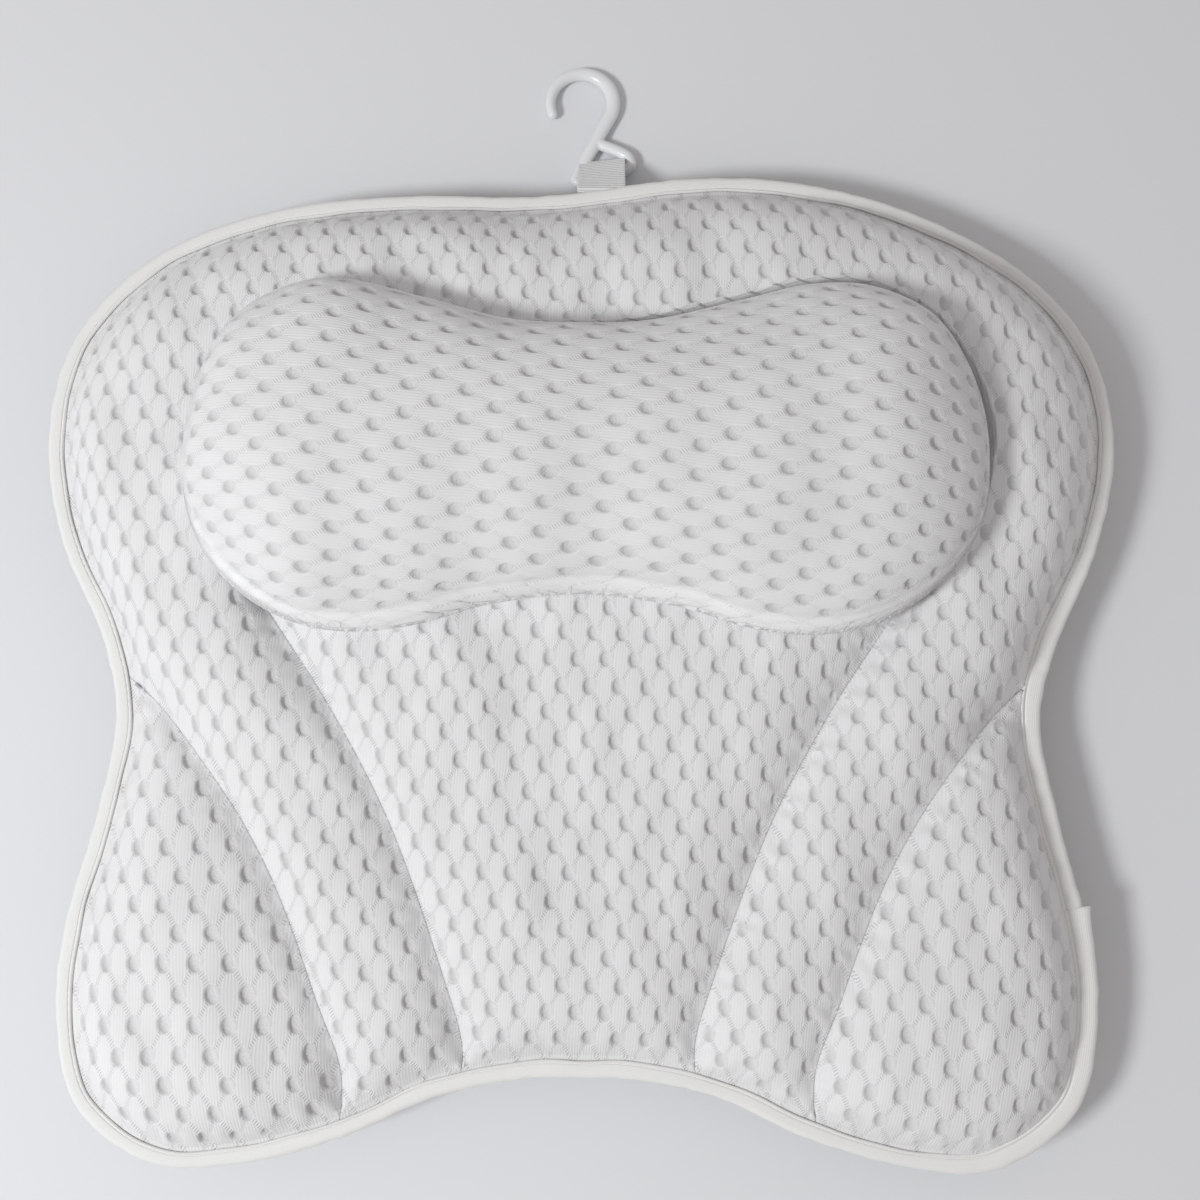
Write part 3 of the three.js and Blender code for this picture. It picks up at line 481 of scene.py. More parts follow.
def cloth_relief(across, along, strength, lean):
    """Height of the mesh over its mean surface. Holes lie where s and t are whole numbers, with
    s and t = (across / ACROSS +- along / ALONG) / 2. A hole is a bowl with a crisp rim, deep as
    (1 - r^4)^0.8, and deeper to the side that the knit pulls away from. A cell rises as
    |sin pi s| |sin pi t|."""
    s = (across / ACROSS + along / ALONG) / 2
    t = (across / ACROSS - along / ALONG) / 2
    ds, dt = s - np.rint(s), t - np.rint(t)
    hx, hy = (ds + dt) * ACROSS / HOLE_ACROSS, (ds - dt) * ALONG / HOLE_ALONG
    r = np.hypot(hx, hy)
    hole = np.clip(1 - r**4, 0, 1) ** 0.8 * np.clip(0.5 - lean[0] * hx - lean[1] * hy, 0, 1)
    cell = np.abs(np.sin(math.pi * s)) * np.abs(np.sin(math.pi * t))
    return strength * (CELL_PUFF * (cell - 0.5) - HOLE_DEPTH * hole)


def used_up(slope, reach):
    """Extra length of cloth between the level crown and a place with this slope."""
    root = np.sqrt(1 + slope**2)
    return reach * (root - 1 - np.log((1 + root) / 2))


# %% [markdown]
# The lattice is laid out along the slopes, and kept as in plan near the edge. The dimples fade out at
# the tape, at the seams and under the bolster's rim, and are shallower where a seam's side faces the
# lamp.

# %% Cloth laid on the front
WANDER, KEY_SIDE = 0.45, (0.88, 0.47)
EDGE_HOLD, SEAM_HOLD = 0.8, 0.3
EDGE_OPEN, SEAM_OPEN, RIM_OPEN = (0.3, 3.5), (0.8, 4.5), (0.3, 2.0)
LIT_SHALLOW, LIT_SLOPE, LIT_REACH = 0.5, (0.5, 1.4), (10, 24)
rise_y, rise_x = np.gradient(front_height, STEP)
slope = np.hypot(rise_x, rise_y)
pull = used_up(slope, SKIN) / np.maximum(slope, 1e-6)
off_edge = smoothstep(6, 34, open_edge)
pull *= 1 - EDGE_HOLD * (1 - off_edge) - SEAM_HOLD * (1 - smoothstep(4, 20, seam_gap)) * off_edge
cloth = P - np.stack([rise_x, rise_y], -1) * pull[..., None]
cloth += WANDER * np.stack([ripples(X, Y, 40, 90, 6, seed) for seed in (11, 12)], -1)
towards_key = KEY_SIDE[0] * rise_x + KEY_SIDE[1] * rise_y
hole_strength = smoothstep(*EDGE_OPEN, open_edge) * smoothstep(*SEAM_OPEN, seam_gap)
lit = smoothstep(*LIT_SLOPE, towards_key) * (1 - smoothstep(*LIT_REACH, seam_gap))
hole_strength *= 1 - LIT_SHALLOW * lit
hole_strength *= smoothstep(*RIM_OPEN, kidney_gap - rise_end) + (kidney_gap < rise_start)
unit = np.stack([-rise_x, -rise_y, np.ones_like(slope)], -1) / np.sqrt(1 + slope**2)[..., None]
print("the steepest cloth slopes", round(float(slope.max()), 1), "to 1")


# %% [markdown]
# ## Cutting the panels out
# Every panel was cut from the roll with its own turn, and sewing stretched it a little. A panel keeps
# the raster points inside its loop. Points within half a step of the loop are moved onto it, so the cut
# edge is smooth, and the cells with all corners kept become faces.

# %% Panel helpers
HEM_UNDER_TAPE, FILL = 5.0, 0.8
LEFT_OUT, FOOT_OUT, TOP_WAVE = 2.0, 2.2, 4.2


def cloth_frame(places, hole_at, across, along, turn):
    """Coordinates on one cut of cloth: from a hole, turned, and stretched so that its own spacing of
    holes becomes ACROSS and ALONG."""
    c, s = math.cos(math.radians(turn)), math.sin(math.radians(turn))
    off = places - hole_at
    return np.stack([(off[..., 0] * c + off[..., 1] * s) * ACROSS / across,
                     (off[..., 1] * c - off[..., 0] * s) * ALONG / along], -1)


def inset(line, distance, closed=True):
    """Moves each point of a line sideways, to the inner side of an outline that runs clockwise."""
    along = (np.roll(line, -1, 0) - np.roll(line, 1, 0)) if closed else np.gradient(line, axis=0)
    along /= np.linalg.norm(along, axis=1)[:, None]
    return line + np.stack([along[:, 1], -along[:, 0]], -1) * np.reshape(distance, (-1, 1))


def askew(points):
    """Shifts points in plan, because the sewn pillow isn't quite symmetric. Its left side and its foot
    stand out by about 2 mm, and the top edge dips left of the hook and lifts right of it."""
    x, y = points[..., 0], points[..., 1]
    wave = np.sin(math.pi / 2 * np.clip(x / 45, -1, 1)) * (1 - smoothstep(70, 175, np.abs(x)))
    points = points.copy()
    points[..., 0] -= LEFT_OUT * smoothstep(-80, -190, x)
    points[..., 1] += TOP_WAVE * smoothstep(100, 160, y) * wave - FOOT_OUT * smoothstep(-140, -210, y)
    return points


def cell_corners(raster):
    """The values at the four corners of every raster cell, going round the cell."""
    return np.stack([raster[:-1, :-1], raster[:-1, 1:], raster[1:, 1:], raster[1:, :-1]])


def cut_panel(name, loop, lattice):
    """The part of the front that lies inside a loop, closed below."""
    snapped, place = snap(np.concatenate([loop, loop[:1]]), STEP * 0.55)
    keep = inside(loop) | snapped
    laid = cloth_frame(cloth, *lattice)
    relief = cloth_relief(laid[..., 0], laid[..., 1], hole_strength, LEAN)
    points = np.stack([X, Y, front_height], -1) + unit * relief[..., None]
    fabric = np.concatenate([laid, hole_strength[..., None]], -1)
    points[snapped, :2] = place[snapped]
    number = np.cumsum(keep.ravel()).reshape(keep.shape) - 1
    kept, numbers = cell_corners(keep), cell_corners(number)
    whole = kept.all(0)
    quads = numbers[:, whole].T
    three = kept.sum(0) == 3
    corners = [np.delete(numbers, out, 0)[:, three & ~kept[out]].T for out in range(4)]
    piece = make_mesh(name, askew(points[keep]), quads, np.concatenate(corners), fabric=fabric[keep])
    tidy_mesh(piece, 0.01, FRONT_BOTTOM)
    return dress(piece, "pillow", "mesh_fabric", f"{name}_panel", f"{name}_fill", fill=FILL)


def tucked(run):
    """A run of the outline moved in under the tape."""
    return inset(run, HEM_UNDER_TAPE, closed=False)


# %% [markdown]
# A panel's lattice is given by the place of one hole, the spacing of its holes across and along, and
# its turn in degrees. All of these were measured in the photo.

# %% Panels
top_edge = np.concatenate([mirror(top_right), top_right[1:]])
left_channel = mirror(channel_right)
yoke_loop = np.concatenate([tucked(top_edge), outer_seam, tucked(channel_right), inner_seam[::-1], hem,
                            mirror(inner_seam)[::-1], tucked(left_channel), mirror(outer_seam)])
centre_edge = tucked(np.concatenate([centre_right, mirror(centre_right)[1:]]))
centre_loop = np.concatenate([hem[::-1], inner_seam, centre_edge, mirror(inner_seam)])
lobe_loop = np.concatenate([tucked(lobe_right), outer_seam[::-1]])

PANELS = {
    "yoke": (yoke_loop, ((-4.4, 136.0), 5.35, 10.0, -1)),
    "centre": (centre_loop, ((-3.4, -96.1), 5.3, 10.05, -2.2)),
    "right_lobe": (lobe_loop, ((146.7, -153.8), 5.65, 10.7, -6)),
    "left_lobe": (mirror(lobe_loop), ((-140.4, -149.4), 5.85, 10.9, 1.5)),
}
mesh_pieces = [cut_panel(name, loop, lattice) for name, (loop, lattice) in PANELS.items()]

# %% [markdown]
# ## The neck bolster
# The bolster is a kidney in plan and a dome in section: its side bulges out over its foot, and its top
# closes in a soft arch. It is laid out in stations across its length. Each station is a half ellipse
# between the front and back of the outline, and below its equator the cloth tucks in to the foot.

# %% Bolster's dome
EQUATOR, TUCK, BOLSTER_REACH, BOLSTER_FILL = 9.0, 4.0, 58.0, 0.85
base_z, equator_z = bolster_low[2], bolster_low[2] + EQUATOR
top_rise = bolster_high[2] - equator_z
right_tip, left_tip = ring[:, 0].argmax(), ring[:, 0].argmin()
front_line = ring[right_tip:left_tip + 1][::-1]
back_line = np.concatenate([ring[left_tip:], ring[:right_tip + 1]])

stations = 440
tips = ring[[left_tip, right_tip], 0]
station_x = tips.mean() + (tips[1] - tips[0]) / 2 * np.sin(np.linspace(-math.pi / 2, math.pi / 2, stations))
front_y = np.interp(station_x, front_line[:, 0], front_line[:, 1])
back_y = np.interp(station_x, back_line[:, 0], back_line[:, 1])
middle_y, half_y = (front_y + back_y) / 2, (back_y - front_y) / 2
spine = np.stack([station_x, middle_y], -1)
from_rim = np.linalg.norm(ring_even[None] - spine[:, None], axis=-1).min(1)
rise = top_rise * np.sqrt(1 - (1 - np.clip(from_rim / BOLSTER_REACH, 0, 1)) ** 2)

across_count = 280
turn = np.linspace(0, math.pi, across_count)[None, :]
dome_x = np.repeat(station_x[:, None], across_count, 1)
dome_y = middle_y[:, None] - half_y[:, None] * np.cos(turn)
dome_z = equator_z + rise[:, None] * np.sin(turn) ** 0.85
bolster = np.stack([dome_x, dome_y, dome_z], -1)
section = np.cumsum(np.linalg.norm(np.diff(bolster, axis=1), axis=-1), 1)
section = np.concatenate([np.zeros((stations, 1)), section], 1)
rim_gap = np.minimum(section, section[:, -1:] - section)
print("the bolster's top is", round(float(rise.max()), 1), "mm above its widest line")

# %% [markdown]
# The bolster's cloth is the same mesh, turned by about 84 degrees. Where the dome climbs from its rim,
# more cloth lies on it than in plan, so the pattern is laid out from the level top down the dome's
# quarter circle towards the nearest rim.

# %% Bolster's cloth
BOLSTER_LATTICE = ((-0.1, 30.8), 5.45, 10.65, 84.3)
BOLSTER_LEAN = (0.38, -0.55)
BOLSTER_WANDER, BOLSTER_LUMP, LEFT_FAINT, FRONT_CLEAR = 0.5, 0.9, 0.45, 1.2


def nearest_rim(places):
    """Distance and direction from places in plan to the nearest point of the bolster's outline."""
    off = ring_even[None, ::2] - places[:, None]
    away = (off**2).sum(-1)
    pick = away.argmin(1)
    to_rim = off[np.arange(len(places)), pick]
    gap = np.linalg.norm(to_rim, axis=1)
    return np.concatenate([gap[:, None], to_rim / np.maximum(gap, 1e-6)[:, None]], 1)


rim_view = np.stack([nearest_rim(row[:, :2]) for row in bolster])
rim_away, to_rim = rim_view[..., 0], rim_view[..., 1:]
arc_gap = np.linspace(0, BOLSTER_REACH, 400)
arc_high = top_rise * np.sqrt(1 - (1 - arc_gap / BOLSTER_REACH) ** 2)
arc_length = run_length(np.stack([arc_gap, arc_high], -1))
spare = (arc_length[-1] - arc_length) - (BOLSTER_REACH - arc_gap)
climbed = bolster[..., :2] + to_rim * np.interp(rim_away, arc_gap, spare)[..., None]
wander = [ripples(dome_x, dome_y, 40, 90, 6, seed) for seed in (31, 32)]
climbed += BOLSTER_WANDER * np.stack(wander, -1)
bolster_cloth = cloth_frame(climbed, *BOLSTER_LATTICE)
cloth_across, cloth_along = bolster_cloth[..., 0], bolster_cloth[..., 1]
left_fade = 1 - LEFT_FAINT + LEFT_FAINT * smoothstep(-135, -85, dome_x)
front_side = smoothstep(0.2, 0.9, -to_rim[..., 1])
strength = smoothstep(1.5, 5, rim_away - FRONT_CLEAR * front_side) * left_fade
normal = np.cross(np.gradient(bolster, axis=0), np.gradient(bolster, axis=1))
normal /= np.maximum(np.linalg.norm(normal, axis=-1), 1e-9)[..., None]
bumpy = BOLSTER_LUMP * ripples(dome_x, dome_y, 34, 80, 9, 21) * smoothstep(4, 24, rim_gap)
bolster_relief = cloth_relief(cloth_across, cloth_along, strength, BOLSTER_LEAN)
bolster = bolster + normal * (bolster_relief + bumpy)[..., None]
print(f"the bolster's holes are {strength.mean():.0%} of their full depth on average")

# %% [markdown]
# Below its widest line the cover tucks in to its foot as a quarter of an ellipse. A thin ridge of
# turned-in cloth runs round that line.

# %% Bolster's foot
RIDGE, RIDGE_TURN, FOOT_ROWS = 0.7, 0.12, 16
rim_front, rim_back = np.stack([station_x, front_y], -1), np.stack([station_x, back_y], -1)
rim_ring = np.concatenate([rim_front, rim_back[::-1]])
along = np.roll(rim_ring, -1, 0) - np.roll(rim_ring, 1, 0)
along[0], along[stations - 1] = (0, -1), (0, 1)
along[stations], along[-1] = (0, 1), (0, -1)
along /= np.linalg.norm(along, axis=1)[:, None]
inward = np.stack([-along[:, 1], along[:, 0]], -1)
drop = np.linspace(0, math.pi / 2, FOOT_ROWS)[:, None]
moved_in = TUCK * (1 - np.cos(drop)) - RIDGE * hump(drop, 0, RIDGE_TURN)
lower_xy = rim_ring[None] + inward[None] * moved_in[..., None]
bolster[:, 0, :2] -= inward[:stations] * RIDGE
bolster[:, -1, :2] -= inward[stations:][::-1] * RIDGE
lower_z = np.repeat(equator_z - EQUATOR * np.sin(drop), len(rim_ring), 1)
lower = np.concatenate([lower_xy, lower_z[..., None]], -1)
dome_fabric = np.stack([cloth_across, cloth_along, strength], -1)
lower_fabric = np.stack([lower_z - equator_z, lower[..., 0], np.zeros_like(lower_z)], -1)
lower_faces = grid_faces(FOOT_ROWS, len(rim_ring), wrap_columns=True) + stations * across_count
bolster_piece = make_mesh(
    "bolster", np.concatenate([bolster.reshape(-1, 3), lower.reshape(-1, 3)]),
    grid_faces(stations, across_count), lower_faces,
    fabric=np.concatenate([dome_fabric.reshape(-1, 3), lower_fabric.reshape(-1, 3)]),
)
tidy_mesh(bolster_piece, 0.03, base_z)
dress(bolster_piece, "pillow", "mesh_fabric", "bolster_cover", "bolster_fill", fill=BOLSTER_FILL)

# %% [markdown]
# ## The edge tape
# A knitted tape is folded over the edge and stitched through. Its section has a rounded nose, a groove
# where the stitches pull it down and a thin ridge inside the groove. The section is carried round the
# outline.

# %% Tape section
SLOT_LOW, SLOT_HIGH, TAPE_LOW, TAPE_HIGH = 23.3, 26.2, 22.4, 27.1
TAPE_WIDTH, NOSE, SLOT_IN, LEG_END = 8.2, 2.4, 1.6, 0.25
GROOVE_AT, GROOVE_HALF, RIDGE_AT, RIDGE_HALF, RIDGE_RISE = 6.3, 0.34, 7.35, 0.55, 0.5
SWELL_AT, SWELL_HALF, SWELL = 3.4, 2.2, 0.2
tape_middle = (TAPE_LOW + TAPE_HIGH) / 2
tape_half = (TAPE_HIGH - TAPE_LOW) / 2
from_nose = TAPE_WIDTH * np.linspace(0, 1, 42) ** 1.35
nose_round = np.sqrt(1 - (1 - np.clip(from_nose / NOSE, 0, 1)) ** 2)
leg = tape_half * nose_round + SWELL * hump(from_nose, SWELL_AT, SWELL_HALF)
leg += RIDGE_RISE * hump(from_nose, RIDGE_AT, RIDGE_HALF)
leg[-1] -= LEG_END
upper = np.stack([from_nose, tape_middle + leg], -1)
under = np.stack([from_nose, tape_middle - leg], -1)
slot_line = np.array([(TAPE_WIDTH, SLOT_LOW), (SLOT_IN, SLOT_LOW),
                      (SLOT_IN, SLOT_HIGH), (TAPE_WIDTH, SLOT_HIGH)])
section_in, section_z = np.concatenate([upper[::-1], under[1:], slot_line]).T
share_in = np.clip(section_in / TAPE_WIDTH, 0, 1)
on_leg = section_in < TAPE_WIDTH - 0.05
upward = np.sign(section_z - tape_middle) * on_leg
print("the tape's section has", len(section_in), "points")

# %% [markdown]
# Along its run the tape wavers a little, swells between the stitches and is nicked in two places. Its
# ends are lapped at the right waist: there the outer layer starts with a step and soon fades into line.

# %% Tape round the edge
LAP_AT, NICKS_AT = (194.0, -128.0), [(181.0, -36.5), (-201.0, -2.0)]
TAPE_STEP, LAP_THIN, STITCH, NICK_HALF = 1.4, 0.2, 3.1, 0.9
LAP_OUT, LAP_STEP, NARROW, BROAD = 1.9, 1.3, 1.7, 2.3
STITCH_DIP, EDGE_DIP, LAP_FADE, STEP_FADE, SLOW_WAVER, FAST_WAVER = 0.75, 0.55, 45, 2.5, 0.22, 0.15
tape_line = even(outline, TAPE_STEP, closed=True)
tape_line = np.roll(tape_line, -np.linalg.norm(tape_line - LAP_AT, axis=1).argmin(), axis=0)
tape_run = run_length(tape_line)
lap_point = tape_line[:1] * (1 - LAP_THIN) + tape_line[-1:] * LAP_THIN
tape_line = np.concatenate([tape_line, lap_point])
tape_run = np.append(tape_run, tape_run[-1] + TAPE_STEP - LAP_THIN * TAPE_STEP)
past_lap, at_lap = np.exp(-tape_run / LAP_FADE), np.exp(-tape_run / STEP_FADE)
nick_run = [tape_run[np.linalg.norm(tape_line - place, axis=1).argmin()] for place in NICKS_AT]
nick = sum(hump(tape_run, at, NICK_HALF) for at in nick_run)
waver = SLOW_WAVER * np.sin(tape_run / 9 + 2 * np.sin(tape_run / 47))
waver += FAST_WAVER * np.sin(tape_run / 4.1)
slow, quick = ripples(tape_run, 0, 30, 90, 7, 41), ripples(tape_run, 0, 7, 14, 6, 42)
outer = 0.28 * slow + 0.12 * quick - LAP_OUT * past_lap - LAP_STEP * at_lap
broad = smoothstep(120, 185, tape_line[:, 0]) * smoothstep(40, -40, tape_line[:, 1])
inner = waver + 0.25 * slow - NARROW + BROAD * broad
stitch = 0.5 + 0.5 * np.abs(np.sin(math.pi * tape_run / STITCH))
tape_in = section_in + outer[:, None] * (1 - share_in) ** 1.5 + inner[:, None] * share_in**1.5
dip = STITCH_DIP * stitch[:, None] * hump(section_in, GROOVE_AT, GROOVE_HALF) * on_leg
dip = dip + EDGE_DIP * (nick - past_lap)[:, None] * (1 - share_in)
tape_z = section_z + 0.25 * waver[:, None] * on_leg - upward * dip
tape_xy = [inset(tape_line, tape_in[:, k]) for k in range(len(section_in))]
tape_points = np.concatenate([np.stack(tape_xy, 1), tape_z[..., None]], -1)
around = run_length(np.stack([section_in, section_z], -1)) + 0 * tape_z
lay = np.stack([tape_run[:, None] + 0 * around, around, 0 * around], -1)
tape = make_mesh("edge_tape", askew(tape_points), grid_faces(*tape_z.shape, True, True), fabric=lay)
tidy_mesh(tape, 0.001)
dress(tape, "pillow", "binding_tape", "edge_binding")

# %% [markdown]
# ## The back
# The back is a flatter mesh, sewn into the same tape.

# %% Back panel
BACK_STEP, LEDGE = 2, 6.0
back_low, back_high = box_mm("back_panel")
rear_x, rear_y, rear_gap = (field[::BACK_STEP, ::BACK_STEP] for field in (X, Y, edge_gap))
keep = rear_gap > HEM_UNDER_TAPE
number = np.cumsum(keep.ravel()).reshape(keep.shape) - 1
quads = cell_corners(number)[[0, 3, 2, 1]][:, cell_corners(keep).all(0)].T
ledge = smoothstep(LEG_REACH, LEG_REACH + LEDGE, rear_gap)
rear_z = back_high[2] - 1 - ledge * (back_high[2] - 1 - back_low[2])
back_piece = make_mesh("back", askew(np.stack([rear_x, rear_y, rear_z], -1)[keep]), quads,
                       fabric=np.stack([rear_x, rear_y, ledge], -1)[keep])
tidy_mesh(back_piece, 0.01, back_high[2])
dress(back_piece, "pillow", "mesh_back", "back_panel")

# %% [markdown]
# ## Straps and suction cups
# Each cup hangs in a hole of its own strap, a short woven strip that is sewn flat to the back at both
# ends and bridges down between them. The strap is a thin slab bent along that path. Its points lie in
# rings, from the round hole out to the strip's straight sides.

# %% Straps
STRAP_HALF, STRAP_THICK, CUP_NECK = 10.0, 1.2, 4.3
BRIDGE, SLOPE, REACH = 10.3, 17.3, 34.3
STRAP_SIDES, STRAP_RINGS, EDGE_THIN, WEAVE, WEAVE_PITCH = 160, 34, 0.35, 0.05, 1.25
cup_places = [sum(box_mm(f"suction_cup_{i}"))[:2] / 2 for i in range(1, 7)]
strap_low, strap_high = box_mm("cup_strap_1")
bridge_z, end_z = strap_low[2], strap_high[2] - STRAP_THICK
half_path = np.array([(REACH, 1), (SLOPE + 3, 1), (SLOPE, 1), (BRIDGE, 0), (6, 0)])
strap_path = spline(np.concatenate([half_path * [-1, 1], half_path[::-1]]))


def strap_slab():
    """Top and bottom of a strip with a round hole. A ring is a mix of the hole's circle and the strip's
    outline, and the bottom is the same turned over."""
    turn = np.linspace(0, 2 * math.pi, STRAP_SIDES, endpoint=False)
    circle = np.stack([np.cos(turn), np.sin(turn)], -1)
    to_side = ([REACH, STRAP_HALF] / np.maximum(abs(circle), 1e-9)).min(1)
    share = np.linspace(0, 1, STRAP_RINGS)[:, None, None] ** 1.3
    plan = circle * CUP_NECK * (1 - share) + circle * to_side[:, None] * share
    rim = np.minimum(share[..., 0], 1 - share[..., 0])
    height = bridge_z + (end_z - bridge_z) * np.interp(plan[..., 0], *strap_path.T) + STRAP_THICK / 2
    thick = STRAP_THICK / 2 * (1 - EDGE_THIN * np.exp(-rim / 0.02))
    thick = thick + WEAVE * np.sin(plan[..., 1] * 2 * math.pi / WEAVE_PITCH)
    top = np.concatenate([plan, (height + thick)[..., None]], -1)
    bottom = np.concatenate([plan, (height - thick)[..., None]], -1)
    return np.concatenate([top, bottom[::-1]])


slab = strap_slab()
strap_pieces = []
for i, place in enumerate(cup_places, 1):
    strap = make_mesh(f"strap_{i}", slab + [*place, 0], grid_faces(*slab.shape[:2], True, True),
                      fabric=slab[..., [1, 0, 2]])
    tidy_mesh(strap, 0.001)
    strap_pieces.append(dress(strap, "pillow", "webbing", f"cup_strap_{i}"))

# %% [markdown]
# A cup is turned: its outline is carried round its axis. From below it has a hollow, a thin skirt, a
# collar, a neck that sits in the strap's hole, and a mushroom head above the strap.

# %% Cups
CUP_SIDES = 72
cup_radius, cup_height = spline([
    (0.0, 8.0), (6.0, 7.5), (12.0, 5.9), (17.5, 3.3), (21.5, 0.95), (23.2, 0.12), (24.2, 0.0),
    (24.9, 0.25), (25.0, 0.75), (24.5, 1.25), (21.5, 2.7), (17.6, 5.2), (13.9, 8.2), (11.3, 10.2),
    (10.2, 11.1), (9.95, 12.0), (9.95, 14.2), (9.5, 14.8), (8.6, 15.0), (4.8, 15.0), (4.1, 15.3),
    (4.0, 15.9), (4.0, 16.4), (4.4, 16.78), (6.3, 16.8), (6.85, 17.1), (7.0, 17.7), (6.9, 18.8),
    (6.2, 19.7), (4.4, 20.15), (0.0, 20.3),
], fine=5).T[..., None]
spin = np.linspace(0, 2 * math.pi, CUP_SIDES, endpoint=False)
cup_shape = np.stack([cup_radius * np.cos(spin), cup_radius * np.sin(spin), cup_height + 0 * spin], -1)
cup_pieces = []
for i, place in enumerate(cup_places, 1):
    cup = make_mesh(f"cup_{i}", cup_shape + [*place, 0], grid_faces(*cup_shape.shape[:2], wrap_columns=True))
    tidy_mesh(cup, 0.001)
    cup_pieces.append(dress(cup, f"cup_{i}", "cup_vinyl", f"suction_cup_{i}"))

# %% [markdown]
# ## The hook
# The hook is moulded in one: a round bow, a stem, and a triangular eye whose lowest side is the bar
# inside the ribbon. Round rods are swept along its lines, and a fine voxel remesh melts them into one
# skin with the small fillets of a moulding.

# %% Hook
BOW_RADIUS, WIRE, STRUT_SHARE, HOOK_STEP = 13.5, 2.4, 0.97, 0.6
BAR_SEAT, DROOP = np.array([7.25, 176.784, 3.9]), 0.02584
MELT, SMOOTHING, SMOOTH_ROUNDS = 0.35, 0.5, 6
EYE = np.array([(0.84, -0.55), (-0.1, -2.42), (-0.16, -2.63), (-0.02, -2.66), (1.42, -2.22), (1.56, -2.06),
                (1.46, -1.8), (0.57, -1.37)]) * BOW_RADIUS
stem_top, stem_foot, left_corner, left_turn, right_turn, right_corner, right_bend, apex = EYE
bow_turn = np.radians(np.linspace(201, -28, 30))
bow = BOW_RADIUS * np.stack([np.cos(bow_turn), np.sin(bow_turn)], -1)
bar_shares = np.array([0.2, 0.4, 0.6, 0.86])[:, None]
bar = left_turn * (1 - bar_shares) + right_turn * bar_shares
main_line = even(spline([*bow, stem_top, stem_foot, left_corner, left_turn, *bar, right_turn, right_corner,
                         right_bend]), HOOK_STEP)
strut_line = even(spline([right_corner, right_bend, apex]), HOOK_STEP)


def rod(line, radius, swell, sides=28):
    """A rod along a line in one plane, closed at both ends by a half sphere: its radius shrinks as
    sqrt(1 - u^2) over the last stretch. Its width in the plane is its radius times swell."""
    along = directions(line)
    cap = np.sin(np.linspace(0, math.pi / 2, 8))
    start = line[0] - along[0] * radius * cap[::-1][:, None]
    end = line[-1] + along[-1] * radius * cap[:, None]
    centres = np.concatenate([start, line[1:-1], end])
    ends = [8] + [1] * (len(line) - 2) + [8]
    sideways = np.repeat(np.stack([-along[:, 1], along[:, 0]], -1), ends, 0)
    fall = np.cos(np.arcsin(cap))
    size = np.maximum(np.concatenate([fall[::-1], np.ones(len(line) - 2), fall]) * radius, 1e-3)
    turn = np.linspace(0, 2 * math.pi, sides, endpoint=False)
    wide = (np.repeat(swell, ends) * size)[:, None] * np.cos(turn)
    flat = centres[:, None] + sideways[:, None] * wide[..., None]
    return np.concatenate([flat, (size[:, None] * np.sin(turn))[..., None]], -1)


def hook_place(points):
    """From the hook's own drawing to its place: about the middle of its bar, tipped down a little."""
    x, y, z = np.moveaxis(points - [*(left_turn + right_turn) / 2, 0], -1, 0)
    c, s = math.cos(DROOP), -math.sin(DROOP)
    return np.stack([x, y * c - z * s, y * s + z * c], -1) + BAR_SEAT


def apply_modifiers(piece):
    """Turns the modifiers' result into the piece's own mesh."""
    graph = bpy.context.evaluated_depsgraph_get()
    new = bpy.data.meshes.new_from_object(piece.evaluated_get(graph))
    piece.modifiers.clear()
    piece.data = new
    new.polygons.foreach_set("use_smooth", np.ones(len(new.polygons), bool))
    print(piece.name, "has", len(new.polygons), "faces")


main_share = np.linspace(0, 1, len(main_line))
main_swell = np.interp(main_share, [0, 0.12, 0.34, 0.5, 0.62, 0.72, 1],
                       [0.86, 1.02, 1.3, 1.22, 1.16, 1.0, 1.0])
main_rod = hook_place(rod(main_line, WIRE, main_swell))
strut_rod = hook_place(rod(strut_line, WIRE * STRUT_SHARE, np.full(len(strut_line), 1.05)))
main_faces, strut_faces = (grid_faces(*shape.shape[:2], wrap_columns=True) for shape in (main_rod, strut_rod))
hook_points = np.concatenate([main_rod.reshape(-1, 3), strut_rod.reshape(-1, 3)])
hook_piece = make_mesh("hook_moulding", hook_points, main_faces, strut_faces + main_rod[..., 0].size)
tidy_mesh(hook_piece, 0.01)
melt = hook_piece.modifiers.new("melt", "REMESH")
melt.mode = "VOXEL"
melt.voxel_size = MELT * MM
smooth = hook_piece.modifiers.new("smooth", "SMOOTH")
smooth.factor = SMOOTHING
smooth.iterations = SMOOTH_ROUNDS
apply_modifiers(hook_piece)
dress(hook_piece, "hook", "hook_plastic", "hook")

# %% [markdown]
# ## The ribbon
# A woven ribbon is doubled round the bar of the hook and sewn in under the edge tape. It is one long
# strip: it runs out of the tape, over the bar, back under it, and into the tape again. Its fold is
# slack, so it doesn't follow the whole slant of the bar.

# %% Ribbon
RIBBON_X, RIBBON_HALF, RIBBON_THICK, RIBBON_THREADS = 6.4, 10.0, 0.8, 61
SEWN_Z, BEND_Z, UNDER_Z, PLY_GAP, BAR_GAP = 24.75, 24.2, 2.2, 0.12, 0.35
thread_share = np.linspace(-1, 1, RIBBON_THREADS)
ribbon_x = RIBBON_X + RIBBON_HALF * thread_share
bar_y = BAR_SEAT[1] + (ribbon_x - 9.0) * math.tan(math.radians(17)) + 0.53
fold_y = 180.4 + (ribbon_x - RIBBON_X) * 0.13
fold_back = np.minimum(bar_y - 1.2, fold_y - 3.6)
tuck_y = edge_top - 2.0
bend_y = tuck_y + 1.6
ply = RIBBON_THICK / 2 + PLY_GAP
over = WIRE + BAR_GAP + RIBBON_THICK / 2
top_z, low_z = BAR_SEAT[2] + over, BAR_SEAT[2] - over


